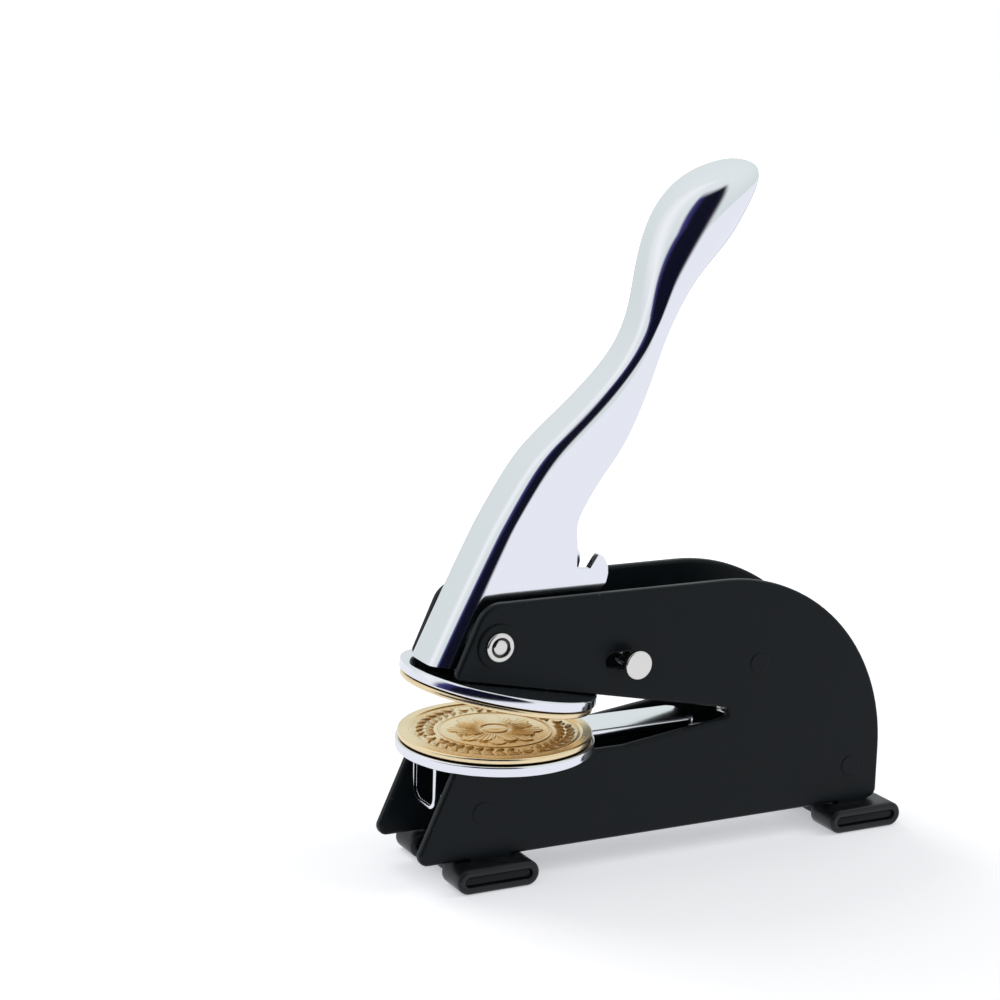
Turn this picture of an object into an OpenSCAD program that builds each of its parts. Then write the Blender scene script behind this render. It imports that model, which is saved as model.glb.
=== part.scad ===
// Desk seal embosser: two side plates, a lower die on a fixed arm, an upper die on a
// spring leaf, and a lever handle whose cam presses the leaf down.
// +Z is up, the mouth faces -Y, and X runs across the plates.

/* [Frame] */
// Clear width between the two side plates
plate_gap = 22; // [20:0.5:26]
// Thickness of a side plate
plate_t = 2.6; // [2:0.1:4]
// Height of the plates' top edge above the table
plate_top = 72.7; // [70:0.5:76]
// Height of the plates' bottom edge above the table
plate_bottom = 6.9; // [6:0.1:8]
// Distance from the rear foot's middle back to the plates' rear edge
rear_overhang = 6.9; // [6.5:0.1:8]
// Radius of the large rear corner
rear_r = 51.5; // [40:0.5:56]
// Small corner radius of the plates
corner_r = 2.5; // [1:0.1:4]
// Radius of the upper front corner
brow_r = 7; // [3:0.5:10]
// Distance from the die centre back to the end of the throat
throat_end = 62; // [58:0.5:64]
// Height of the throat's end above the table
throat_z = 36.7; // [36:0.1:37.5]
// Radius at the end of the throat
throat_r = 1.6; // [1:0.1:1.8]
// Fall of the upper jaw's lower edge towards the rear, in degrees
jaw_tilt = 11.5; // [11:0.1:12]
// Lean of the plates' front edges from the vertical, in degrees
front_lean = 24; // [20:0.5:28]

/* [Lower die] */
// Height of the lower die holder's top above the table
holder_top = 34.1; // [33.6:0.1:34.4]
// Diameter of the chrome die holders
holder_d = 51.2; // [50.4:0.1:53]
// Thickness of the chrome die holders
holder_t = 2.7; // [2:0.1:3]
// Diameter of the brass dies
die_d = 50; // [46:0.5:50]
// Thickness of the lower die
lower_die_t = 2; // [1.6:0.1:2.2]
// Width of the arm that carries the lower holder
arm_w = 13; // [11:0.5:15]
// Wall of the arm's two flanges
arm_wall = 2; // [1.5:0.1:2.5]
// Distance from the die centre back to the end of the arm's top
arm_top_end = 57; // [50:1:60]

/* [Upper die] */
// Thickness of the upper die
upper_die_t = 1.9; // [1.5:0.1:2.1]
// Opening angle of the upper die at rest, in degrees
open_angle = 11.4; // [10.8:0.1:11.8]
// Distance from the die centre back to the point about which the leaf bends
flex_y = 47; // [46:0.5:48]
// Gap left between the closed dies
die_gap = 0.3; // [0.2:0.05:0.5]
// Thickness of the spring leaf
leaf_t = 1.2; // [0.8:0.1:1.3]
// Distance from the flex point back to the leaf's clamp
clamp_start = 19; // [18:0.5:22]
// Length of the leaf's clamp along the leaf
clamp_len = 18; // [14:0.5:20]

/* [Handle] */
// Distance of the handle's pivot in front of the die centre
pivot_front = 6.6; // [6:0.1:7]
// Height of the handle's pivot above the table
pivot_z = 61.9; // [61.5:0.1:62.3]
// Diameter of the handle's pivot pin
pivot_d = 6; // [5:0.1:6.6]
// Width of the handle over its two walls
handle_w = 17; // [15:0.5:18]
// Thickness of the handle's walls
handle_wall = 2.3; // [1.8:0.1:2.8]
// Thickness of the handle's front strip
strip_t = 2.6; // [2:0.1:3]
// Radius of the press cam
cam_r = 13.4; // [13.2:0.1:13.4]
// Offset of the press cam's centre from the pivot
cam_throw = 10.8; // [10.6:0.1:11]
// Angle of the press cam's centre above the horizontal at rest, in degrees
cam_angle = 15.8; // [15:0.1:17]
// Diameter of the pin that fixes the press cam in the handle
cam_pin_d = 4; // [3:0.1:5]
// Radius of the grip's rounded end
grip_r = 8.6; // [7:0.1:9]
// Half distance between the two rounds that widen the grip
grip_spread = 3; // [0.5:0.1:4]

/* [Lock] */
// Distance from the die centre back to the lock pin
lock_y = 30.8; // [30.6:0.1:31.4]
// Height of the lock pin above the table
lock_z = 54.5; // [54.4:0.1:55.3]
// Diameter of the lock pin's shaft
lock_d = 3.6; // [3:0.1:3.8]
// Diameter of the lock pin's head
lock_head_d = 7.5; // [6.6:0.1:9]
// Thickness of the lock pin's head
lock_head_t = 1.5; // [1.2:0.1:3.2]
// Travel of the lock pin
lock_travel = 3.9; // [3.6:0.1:5]
// Length of the lock slot ahead of the pin
slot_run = 4.4; // [3:0.1:6]
// Width of the handle's lock notch
notch_w = 5.3; // [5.2:0.1:5.6]

/* [Rivets and feet] */
// Diameter of the frame's rivets
rivet_d = 5.8; // [5:0.1:6.5]
// Outer diameter of the spacer tubes
spacer_d = 9; // [8:0.1:11]
// Distance of the front rivet in front of the die centre
front_rivet_front = 9.8; // [8:0.1:11]
// Height of the front rivet above the table
front_rivet_z = 19; // [18.5:0.1:21]
// Distance from the die centre back to the leaf block's rivet
block_rivet_y = 71; // [69:0.1:73]
// Height of the leaf block's rivet above the table
block_rivet_z = 49.3; // [47:0.1:50]
// Distance from the plates' rear edge forward to the rear rivet
rear_rivet_inset = 9.3; // [8.5:0.1:12]
// Height of the rear rivet above the table
rear_rivet_z = 17.1; // [17:0.1:20]
// Distance from the front foot's middle forward to the die centre
front_foot_front = 7.4; // [6:0.1:9]
// Distance between the two feet
foot_spacing = 112; // [108:0.5:113]
// Length of a foot over its two rubber sleeves, across the plates
sleeve_len = 38.4; // [36:0.2:50]
// Reach of each rubber sleeve inwards past the plate's inner side
sleeve_reach = 2.3; // [1.5:0.1:4]
// Width of a foot's rubber sleeve
sleeve_w = 22.8; // [20:0.2:24]
// Height of a foot's rubber sleeve
sleeve_h = 6.6; // [6:0.1:6.6]
// Width of a foot's steel bar
bar_w = 18.6; // [17:0.2:19]
// Thickness of a foot's steel bar
bar_t = 2.5; // [2:0.1:3]
// Depth of the bar's end inside its sleeve
bar_recess = 0.8; // [0.3:0.1:2]

/* [Hidden] */
$fn = 96;

// Clearances: radial for a running fit, flat for sliding faces, and one for slack holes
fit = 0.05;
side_gap = 0.15;
slack = 0.2;
eps = 0.01;
arc_step = 5;
// A block large enough to cut across the whole handle
cut_front = 40;
cut_len = 140;

inner_x = plate_gap / 2;
outer_x = inner_x + plate_t;
flange_x = arm_w / 2;
holder_bottom = holder_top - holder_t;
jaw_slope = tan(jaw_tilt);
lean_slope = tan(front_lean);
// The closed upper holder's underside, and the height at which the leaf bends
closed_z = holder_top + lower_die_t + die_gap + upper_die_t;
flex_z = closed_z + holder_t + leaf_t / 2;
pivot_y = -pivot_front;
cam_y = pivot_y + cam_throw * cos(cam_angle);
cam_z = pivot_z + cam_throw * sin(cam_angle);
front_foot_y = -front_foot_front;
rear_foot_y = front_foot_y + foot_spacing;
plate_rear = rear_foot_y + rear_overhang;
rear_rivet_y = plate_rear - rear_rivet_inset;
bar_z = (sleeve_h - bar_t) / 2;
tab_w = 12;
bush_r = pivot_d / 2 + 1.2;
bush_end = handle_w / 2;
lock_bush_wall = 0.8;
lock_bush_lip = 0.1;
washer_d = 11.5;
washer_t = 0.6;
head_d = 7.5;
head_t = 0.8;
die_screw_d = 4;
die_screw_head_d = 7.6;
die_screw_head_t = 2.2;
die_rivet_d = 3;
die_rivet_y = [-7, 14];
leaf_front = -11;
leaf_screw_d = 4;
clamp_t = 2;
block_h = 16;
rim_w = 2.6;
field_depth = 0.5;
edge_chamfer = 0.7;
flange_bottom = 13;
flange_step = 3;
flange_bevel = 6;
flange_margin = 0.5;
arm_end_margin = 5.5;
tab_front = 20;
tab_bottom = 18;
tab_r = 4;
jaw_seat_end = 31;
plate_fillet = 1.5;
front_low_y = -28.4;
front_high_y = -10.2;
// Lock notch: its middle behind the die centre, its rounded bottom, and the hook's tip
notch_y = 20.35;
notch_z = 81;
hook_tip_z = 83.1;
hook_back_y = 26.4;
hook_root_z = 73.4;
hook_r = 2.2;
// Lowest point of the walls, just behind the pivot
belly_y = -2;
belly_z = 52.7;
// The plates' front corner and the rear sleeve's end give the middle of the outline
outline_front = front_low_y + corner_r * (1 / tan((90 - front_lean) / 2) - 1);
outline_rear = rear_foot_y + sleeve_w / 2;
origin_y = (outline_front + outline_rear) / 2;

// Handle outline as knots: place back, height, and direction of travel in degrees
front_knots = [
    [-19.6, 56.2, 65], [-4.5, 87.4, 63], [9.1, 108.5, 49], [20.3, 118.6, 45],
    [31.6, 130.9, 54], [38.4, 144.5, 72], [41.4, 157, 74], [47.6, 170, 52]
];
rear_knots = [
    [64, 164.5, -125], [54.5, 154.2, -132], [46.5, 144.2, -116], [41.3, 133, -113],
    [33.8, 115.5, -117], [23.7, 100.7, -128], [18.6, 92.8, -108], [17.7, 86, -90]
];
knot_steps = 6;
grip_tip = [62.3, 171.6];
grip_root = [52.6, 164.3];
grip_root_r = 8.1;
grip_neck = [46, 152.6];
grip_neck_r = 5.4;
grip_cut_z = 163;
strip_drop = 1.2;
cavity_top = 152;

// Hermite curve through two knots, as a list of points without its last one
function hermite(a, b, n) = [
    for (i = [0 : n - 1])
        let (t = i / n, d = norm([b[0] - a[0], b[1] - a[1]]),
             h1 = 2 * t * t * t - 3 * t * t + 1, h2 = t * t * t - 2 * t * t + t,
             h3 = 3 * t * t - 2 * t * t * t, h4 = t * t * t - t * t)
        [h1 * a[0] + h2 * d * cos(a[2]) + h3 * b[0] + h4 * d * cos(b[2]),
         h1 * a[1] + h2 * d * sin(a[2]) + h3 * b[1] + h4 * d * sin(b[2])]
];
function curve(knots) = [
    for (k = [0 : len(knots) - 2]) each hermite(knots[k], knots[k + 1], knot_steps),
    [knots[len(knots) - 1][0], knots[len(knots) - 1][1]]
];

// Round a corner b between a and c with radius r, as points of its arc
function unit(v) = v / norm(v);
function corner(a, b, c, r) =
    let (u = unit(a - b), v = unit(c - b), half = acos(u * v) / 2,
         m = b + unit(u + v) * r / sin(half),
         p = b + u * r / tan(half), q = b + v * r / tan(half),
         a0 = atan2(p[1] - m[1], p[0] - m[0]), a1 = atan2(q[1] - m[1], q[0] - m[0]),
         sweep = (a1 - a0 + 540) % 360 - 180, n = max(3, ceil(abs(sweep) / arc_step)))
    [for (i = [0 : n]) m + r * [cos(a0 + sweep * i / n), sin(a0 + sweep * i / n)]];
// Polygon whose corners are [y, z, radius]
function rounded(pts) = [
    for (i = [0 : len(pts) - 1])
        let (n = len(pts), a = pts[(i + n - 1) % n], b = pts[i], c = pts[(i + 1) % n])
        each corner([a[0], a[1]], [b[0], b[1]], [c[0], c[1]], b[2])
];

// Carry a side profile, drawn back and up, across the plates from x0 to x1
module across(x0, x1) {
    translate([x0, 0, 0])
        rotate([90, 0, 90])
            linear_extrude(x1 - x0)
                children();
}
// A cylinder along X from x0 to x1 at a place back and up
module pin_x(y, z, r, x0, x1) {
    translate([x0, y, z])
        rotate([0, 90, 0])
            cylinder(r = r, h = x1 - x0);
}
// A slot along X through the near plate, from the lock pin to its front end
module lock_slot(r, x0, x1) {
    pin_x(lock_y, lock_z, r, x0, x1);
    pin_x(lock_y - slot_run, lock_z, r, x0, x1);
    translate([x0, lock_y - slot_run, lock_z - r])
        cube([x1 - x0, slot_run, 2 * r]);
}
module both_sides() {
    children();
    mirror([1, 0, 0])
        children();
}
// Turn what is drawn closed into the open rest position about the flex point
module opened() {
    translate([0, flex_y, flex_z])
        rotate([-open_angle, 0, 0])
            translate([0, -flex_y, -flex_z])
                children();
}
module centred() {
    translate([0, -origin_y, 0])
        children();
}

function jaw_z(y) = throat_z + throat_r / cos(jaw_tilt) + (throat_end - throat_r - y) * jaw_slope;

module plate_profile() {
    seat_y = front_low_y + (holder_bottom - plate_bottom) * lean_slope;
    brow_y = front_high_y;
    tip_y = (brow_y - (plate_top - jaw_z(0)) * lean_slope) / (1 + jaw_slope * lean_slope);
    difference() {
        polygon(rounded([
            [front_low_y, plate_bottom, corner_r],
            [plate_rear, plate_bottom, corner_r],
            [plate_rear, plate_top, rear_r],
            [brow_y, plate_top, brow_r],
            [tip_y, jaw_z(tip_y), plate_fillet],
            [throat_end, jaw_z(throat_end), throat_r * 0.9],
            [throat_end, throat_z - throat_r * 0.9, throat_r * 0.9],
            [jaw_seat_end, holder_bottom, plate_fillet],
            [seat_y, holder_bottom, plate_fillet]
        ]));
        translate([front_rivet_y(), front_rivet_z])
            circle(r = rivet_d / 2 + fit);
        translate([block_rivet_y, block_rivet_z])
            circle(r = rivet_d / 2 + fit);
        translate([rear_rivet_y, rear_rivet_z])
            circle(r = rivet_d / 2 + fit);
        translate([pivot_y, pivot_z])
            circle(r = pivot_d / 2 + fit);
    }
    for (y = [front_foot_y, rear_foot_y])
        translate([y - tab_w / 2, bar_z + bar_t])
            square([tab_w, plate_bottom - bar_z - bar_t + eps]);
}
function front_rivet_y() = -front_rivet_front;
lock_bush_r = lock_d / 2 + fit + lock_bush_wall;

module side_plate_near() {
    color("#222629")
        centred()
            difference() {
                across(inner_x, outer_x)
                    plate_profile();
                lock_slot(lock_bush_r + fit, inner_x - eps, outer_x + eps);
            }
}
module side_plate_far() {
    color("#222629")
        centred()
            across(-outer_x, -inner_x)
                plate_profile();
}
module frame_rivets() {
    color("#2b2f33")
        centred() {
            pin_x(front_rivet_y(), front_rivet_z, rivet_d / 2, -outer_x, outer_x);
            pin_x(block_rivet_y, block_rivet_z, rivet_d / 2, -outer_x, outer_x);
            pin_x(rear_rivet_y, rear_rivet_z, rivet_d / 2, -outer_x, outer_x);
        }
}
module spacer_pair(y, z) {
    both_sides()
        difference() {
            pin_x(y, z, spacer_d / 2, flange_x, inner_x);
            pin_x(y, z, rivet_d / 2 + fit, flange_x - eps, inner_x + eps);
        }
}
module front_spacers() {
    color("#8a8d90")
        centred()
            spacer_pair(front_rivet_y(), front_rivet_z);
}
module rear_spacers() {
    color("#8a8d90")
        centred()
            spacer_pair(rear_rivet_y, rear_rivet_z);
}

// The leaf's clamp lies along the leaf, so it is drawn closed and turned with it
leaf_low = closed_z + holder_t;
leaf_high = leaf_low + leaf_t;
clamp_y0 = flex_y + clamp_start;
screw_ys = [clamp_y0 + clamp_len * 0.3, clamp_y0 + clamp_len * 0.78];

module leaf_block() {
    color("#2b2f33")
        centred()
            difference() {
                opened()
                    translate([-inner_x, clamp_y0, leaf_high])
                        cube([plate_gap, clamp_len, block_h]);
                pin_x(block_rivet_y, block_rivet_z, rivet_d / 2 + fit, -outer_x, outer_x);
                opened()
                    for (y = screw_ys)
                        translate([0, y, leaf_high - eps])
                            cylinder(d = leaf_screw_d + 2 * fit, h = leaf_screw_depth + slack);
            }
}
leaf_screw_depth = 3;
module leaf_clamp() {
    color("#8a8d90")
        centred()
            opened()
                difference() {
                    translate([-flange_x, clamp_y0, leaf_low - clamp_t])
                        cube([arm_w, clamp_len, clamp_t]);
                    for (y = screw_ys)
                        translate([0, y, leaf_low - clamp_t - eps])
                            cylinder(d = leaf_screw_d + 2 * fit, h = clamp_t + 2 * eps);
                }
}
module leaf_screws() {
    head_d = 7;
    head_h = 1.8;
    color("#b9bcc0")
        centred()
            opened()
                for (y = screw_ys)
                    translate([0, y, 0]) {
                        translate([0, 0, leaf_low - clamp_t - head_h])
                            cylinder(d = head_d, h = head_h);
                        translate([0, 0, leaf_low - clamp_t - eps])
                            cylinder(d = leaf_screw_d, h = clamp_t + leaf_t + leaf_screw_depth);
                    }
}
module die_leaf() {
    color("#9da1a6")
        centred()
            opened()
                difference() {
                    translate([-flange_x, leaf_front, leaf_low])
                        cube([arm_w, clamp_y0 + clamp_len - leaf_front, leaf_t]);
                    for (y = screw_ys)
                        translate([0, y, leaf_low - eps])
                            cylinder(d = leaf_screw_d + 2 * fit, h = leaf_t + 2 * eps);
                    for (y = die_rivet_y)
                        translate([0, y, leaf_low - eps])
                            cylinder(d = die_rivet_d + 2 * fit, h = leaf_t + 2 * eps);
                }
}

// Rear end of the lower arm, just behind the rear rivet
arm_rear = rear_rivet_y + arm_end_margin;
module arm_flange_profile() {
    difference() {
        polygon([
            [-tab_front + arm_wall, holder_bottom],
            [arm_top_end, holder_bottom],
            [arm_top_end + flange_step, holder_bottom - flange_step],
            [arm_rear, holder_bottom - flange_step],
            [arm_rear, flange_bottom],
            [-tab_front + arm_wall + flange_bevel, flange_bottom],
            [-tab_front + arm_wall, tab_bottom + tab_r + flange_margin]
        ]);
        translate([front_rivet_y(), front_rivet_z])
            circle(r = rivet_d / 2 + fit);
        translate([rear_rivet_y, rear_rivet_z])
            circle(r = rivet_d / 2 + fit);
    }
}
module lower_die_arm() {
    tab_h = holder_bottom - tab_bottom;
    end_r = 3;
    color("#dfe2e8")
        centred()
            difference() {
                union() {
                    translate([0, 0, holder_bottom])
                        cylinder(d = holder_d, h = holder_t);
                    translate([0, 0, holder_bottom])
                        linear_extrude(holder_t)
                            polygon(rounded([
                                [-flange_x, 0, 0.1], [flange_x, 0, 0.1],
                                [flange_x, arm_top_end, end_r], [-flange_x, arm_top_end, end_r]
                            ]));
                    across(flange_x - arm_wall, flange_x)
                        arm_flange_profile();
                    across(-flange_x, -flange_x + arm_wall)
                        arm_flange_profile();
                    translate([0, -tab_front + arm_wall, 0])
                        rotate([90, 0, 0])
                            linear_extrude(arm_wall)
                                polygon(rounded([
                                    [-flange_x, tab_bottom, tab_r], [flange_x, tab_bottom, tab_r],
                                    [flange_x, tab_bottom + tab_h, 0.1],
                                    [-flange_x, tab_bottom + tab_h, 0.1]
                                ]));
                }
                translate([0, 0, holder_bottom - eps])
                    cylinder(d = die_screw_d + 2 * fit, h = holder_t + 2 * eps);
            }
}

// A coin-like die: chamfered edge, raised rim and a field let in below it
module die_blank(t) {
    r = die_d / 2;
    rotate_extrude()
        polygon([
            [0, 0], [r, 0], [r, t - edge_chamfer], [r - edge_chamfer, t],
            [r - rim_w, t], [r - rim_w - field_depth, t - field_depth], [0, t - field_depth]
        ]);
}
die_hole = 1;
module lower_die() {
    color("#e1c88c")
        centred()
            translate([0, 0, holder_top])
                difference() {
                    die_blank(lower_die_t);
                    translate([0, 0, -eps])
                        cylinder(d = die_screw_d + 2 * fit, h = die_hole + eps);
                }
}
module lower_die_screw() {
    color("#b9bcc0")
        centred() {
            translate([0, 0, holder_bottom - die_screw_head_t])
                cylinder(d = die_screw_head_d, h = die_screw_head_t);
            translate([0, 0, holder_bottom - eps])
                cylinder(d = die_screw_d, h = holder_t + die_hole - slack);
        }
}
module upper_die_holder() {
    color("#dfe2e8")
        centred()
            opened()
                translate([0, 0, closed_z])
                    difference() {
                        cylinder(d = holder_d, h = holder_t);
                        for (y = die_rivet_y)
                            translate([0, y, -eps])
                                cylinder(d = die_rivet_d + 2 * fit, h = holder_t + 2 * eps);
                    }
}
module upper_die() {
    color("#e1c88c")
        centred()
            opened()
                translate([0, 0, closed_z])
                    mirror([0, 0, 1])
                        difference() {
                            die_blank(upper_die_t);
                            for (y = die_rivet_y)
                                translate([0, y, -eps])
                                    cylinder(d = die_rivet_d + 2 * fit, h = die_hole + eps);
                        }
}
module die_rivets() {
    cap_d = 5.6;
    cap_h = 0.8;
    color("#b9bcc0")
        centred()
            opened()
                for (y = die_rivet_y)
                    translate([0, y, 0]) {
                        translate([0, 0, leaf_high])
                            cylinder(d = cap_d, h = cap_h);
                        translate([0, 0, closed_z - die_hole + slack])
                            cylinder(d = die_rivet_d, h = leaf_high - closed_z + die_hole - slack + eps);
                    }
}

// Handle: the outline carried across, a channel cut in from behind, and a rounded grip
module handle_profile() {
    difference() {
        union() {
            polygon(concat(
                curve(front_knots), curve(rear_knots),
                [[notch_y - notch_w / 2, hook_root_z], [belly_y, belly_z]]
            ));
            translate([cam_y, cam_z])
                circle(r = cam_r - 1);
            polygon(rounded([
                [cam_y, cam_z, 0.1], [cam_y + cam_r - 2, cam_z - 3, 1],
                [hook_back_y, hook_root_z, hook_r],
                [hook_back_y, hook_tip_z, hook_r],
                [0, hook_tip_z, 0.1]
            ]));
        }
        translate([notch_y, notch_z])
            circle(r = notch_w / 2 - eps);
        translate([notch_y - notch_w / 2, notch_z])
            square([notch_w, hook_tip_z - notch_z + 1]);
    }
}
module handle() {
    inner_w = handle_w - 2 * handle_wall;
    color("#dfe2e8")
        centred() {
            difference() {
                intersection() {
                    across(-handle_w / 2, handle_w / 2)
                        handle_profile();
                    translate([-handle_w, -cut_front, 0])
                        cube([2 * handle_w, cut_len, grip_cut_z]);
                }
                intersection() {
                    across(-inner_w / 2, inner_w / 2) {
                        translate([strip_t, -strip_drop])
                            handle_profile();
                        translate([0, belly_z - cam_r])
                            square([cut_front, hook_tip_z - belly_z + cam_r + 1]);
                    }
                    translate([-handle_w, -cut_front, 0])
                        cube([2 * handle_w, cut_len, cavity_top]);
                }
                pin_x(pivot_y, pivot_z, bush_r + fit, -handle_w, handle_w);
                pin_x(cam_pin_y(), cam_pin_z(), cam_pin_d / 2 + fit, -handle_w, handle_w);
            }
            grip();
        }
}
module grip() {
    hull() {
        for (s = [-1, 1]) {
            translate([s * grip_spread, grip_tip[0], grip_tip[1]])
                sphere(r = grip_r, $fn = 32);
            translate([s * grip_spread * 0.9, grip_root[0], grip_root[1]])
                sphere(r = grip_root_r, $fn = 32);
        }
        translate([0, grip_neck[0], grip_neck[1]])
            rotate([0, 90, 0])
                cylinder(r = grip_neck_r, h = handle_w - 2, center = true, $fn = 32);
    }
}
function cam_pin_y() = cam_y + 4.2;
function cam_pin_z() = cam_z + 3.2;

module press_cam() {
    cam_x = handle_w / 2 - handle_wall - slack;
    color("#8a8d90")
        centred()
            difference() {
                pin_x(cam_y, cam_z, cam_r, -cam_x, cam_x);
                pin_x(pivot_y, pivot_z, bush_r + fit, -handle_w, handle_w);
                pin_x(cam_pin_y(), cam_pin_z(), cam_pin_d / 2 + fit, -handle_w, handle_w);
            }
}
module cam_pin() {
    color("#b9bcc0")
        centred()
            pin_x(cam_pin_y(), cam_pin_z(), cam_pin_d / 2, -handle_w / 2, handle_w / 2);
}
module pivot_bush() {
    color("#b08d57")
        centred()
            difference() {
                pin_x(pivot_y, pivot_z, bush_r, -bush_end, bush_end);
                pin_x(pivot_y, pivot_z, pivot_d / 2 + fit, -handle_w, handle_w);
            }
}
module pivot_pin() {
    head_x = outer_x + washer_t;
    recess_r = 2.6;
    recess_t = 0.5;
    color("#c9cbcd")
        centred()
            difference() {
                union() {
                    pin_x(pivot_y, pivot_z, pivot_d / 2, -head_x, head_x);
                    both_sides()
                        pin_x(pivot_y, pivot_z, head_d / 2, head_x, head_x + head_t);
                }
                both_sides()
                    pin_x(pivot_y, pivot_z, recess_r, head_x + head_t - recess_t, head_x + head_t + 1);
            }
}
module pivot_washers() {
    color("#1c1f22")
        centred()
            both_sides()
                difference() {
                    pin_x(pivot_y, pivot_z, washer_d / 2, outer_x, outer_x + washer_t);
                    pin_x(pivot_y, pivot_z, pivot_d / 2 + fit, inner_x, outer_x + 2);
                }
}
module handle_spacers() {
    color("#8a8d90")
        centred()
            both_sides()
                difference() {
                    pin_x(pivot_y, pivot_z, washer_d / 2, handle_w / 2 + side_gap, inner_x);
                    pin_x(pivot_y, pivot_z, pivot_d / 2 + fit, 0, outer_x);
                }
}
module lock_bush() {
    color("#16181a")
        centred()
            difference() {
                lock_slot(lock_bush_r, inner_x - lock_bush_lip, outer_x + lock_bush_lip);
                lock_slot(lock_d / 2 + fit, 0, 2 * outer_x);
            }
}
module lock_pin() {
    head_x = outer_x + lock_bush_lip + side_gap + lock_travel;
    tip_x = handle_w / 2 + 0.9;
    color("#e6e2da")
        centred() {
            pin_x(lock_y, lock_z, lock_d / 2, tip_x, head_x + eps);
            pin_x(lock_y, lock_z, lock_head_d / 2, head_x, head_x + lock_head_t);
        }
}

// Feet: a steel bar across the plates, and a rubber sleeve over each of its ends with a
// slot for the plate's tab
module foot_bar(y) {
    color("#2b2f33")
        centred()
            translate([-sleeve_len / 2 + bar_recess, y - bar_w / 2, bar_z])
                cube([sleeve_len - 2 * bar_recess, bar_w, bar_t]);
}
module foot_sleeve(y) {
    r = sleeve_h / 2;
    color("#141618")
        centred()
            both_sides()
                difference() {
                    across(inner_x - sleeve_reach, sleeve_len / 2)
                        translate([y, r])
                            union() {
                                square([sleeve_w - 2 * r, sleeve_h], center = true);
                                translate([r - sleeve_w / 2, 0])
                                    circle(r = r);
                                translate([sleeve_w / 2 - r, 0])
                                    circle(r = r);
                            }
                    translate([0, y - bar_w / 2, bar_z])
                        cube([sleeve_len, bar_w, bar_t]);
                    translate([inner_x - slack, y - tab_w / 2 - slack, bar_z + bar_t - eps])
                        cube([plate_t + 2 * slack, tab_w + 2 * slack, sleeve_h]);
                }
}
module front_foot_bar() { foot_bar(front_foot_y); }
module rear_foot_bar() { foot_bar(rear_foot_y); }
module front_foot_sleeve() { foot_sleeve(front_foot_y); }
module rear_foot_sleeve() { foot_sleeve(rear_foot_y); }

side_plate_near();
side_plate_far();
frame_rivets();
front_spacers();
rear_spacers();
leaf_block();
leaf_clamp();
leaf_screws();
die_leaf();
lower_die_arm();
lower_die();
lower_die_screw();
front_foot_bar();
rear_foot_bar();
front_foot_sleeve();
rear_foot_sleeve();
pivot_pin();
pivot_washers();
handle_spacers();
lock_bush();
upper_die_holder();
upper_die();
die_rivets();
handle();
press_cam();
cam_pin();
pivot_bush();
lock_pin();
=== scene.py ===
"""Dresses the desk seal embosser: finishes, rounded edges, die relief, studio and camera.

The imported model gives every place. Sizes below are in millimetres, measured from the middle
of the lower die (Y towards the rear) and from the table (Z up), and become metres in `place`.
"""

import logging
import math
from dataclasses import dataclass, field
from enum import Enum
from typing import Callable, Optional, Sequence

import bmesh
import bpy
import numpy as np
from mathutils import Matrix, Vector

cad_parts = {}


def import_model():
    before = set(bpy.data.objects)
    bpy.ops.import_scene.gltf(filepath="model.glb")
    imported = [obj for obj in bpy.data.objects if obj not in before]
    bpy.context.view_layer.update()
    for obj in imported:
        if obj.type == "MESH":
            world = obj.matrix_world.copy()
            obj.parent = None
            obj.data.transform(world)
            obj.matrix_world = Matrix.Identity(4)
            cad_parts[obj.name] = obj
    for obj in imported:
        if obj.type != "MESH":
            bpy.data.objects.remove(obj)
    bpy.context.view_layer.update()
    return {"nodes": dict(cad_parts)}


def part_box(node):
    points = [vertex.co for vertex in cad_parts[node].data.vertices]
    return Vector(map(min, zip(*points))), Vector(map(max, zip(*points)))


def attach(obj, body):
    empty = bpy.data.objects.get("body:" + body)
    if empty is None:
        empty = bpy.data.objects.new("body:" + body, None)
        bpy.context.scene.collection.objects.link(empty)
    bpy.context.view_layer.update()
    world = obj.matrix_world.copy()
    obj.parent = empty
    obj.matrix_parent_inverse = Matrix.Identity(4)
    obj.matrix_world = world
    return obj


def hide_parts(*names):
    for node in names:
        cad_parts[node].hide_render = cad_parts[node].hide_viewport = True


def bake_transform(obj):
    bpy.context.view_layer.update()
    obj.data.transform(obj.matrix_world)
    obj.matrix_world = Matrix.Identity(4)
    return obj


log = logging.getLogger("seal_embosser")
Points = np.ndarray
Piece = bpy.types.Object
Socket = bpy.types.NodeSocket
Node = bpy.types.Node
Outputs = bpy.types.bpy_prop_collection
Colour = tuple[float, float, float, float]
MM = 0.001
WELD = 2e-6
FLAT_TURN = math.radians(0.6)
RIM_TURN = math.radians(30)


class Body(Enum):
    """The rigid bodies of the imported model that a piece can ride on."""

    FRAME = "frame"
    LEVER = "lever"
    UPPER_JAW = "upper_jaw"
    LOCK = "lock"


class Along(Enum):
    """The axis that a piece is turned about, or that its thickness lies along."""

    X = 0
    Y = 1
    Z = 2


# ---------------------------------------------------------------------------------------------
# Mesh helpers


def die_centre() -> float:
    """Returns the lower die's centre along Y, in metres."""
    low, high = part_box("lower_die")
    return (low[1] + high[1]) / 2


def place(points: Points) -> Points:
    """Turns millimetres from the die's centre into the model's metres.

    Args:
        points: An array whose last axis is x, y, z.

    Returns:
        The same shape, in metres, moved to the model's origin.
    """
    moved = np.asarray(points, float) * MM
    moved[..., 1] += die_centre()
    return moved


def smooth_step(low: float, high: float, value: Points) -> Points:
    """Returns 0 below low, 1 above high and the cubic 3t^2 - 2t^3 between them."""
    t = np.clip((value - low) / (high - low), 0.0, 1.0)
    return t * t * (3.0 - 2.0 * t)


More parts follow.
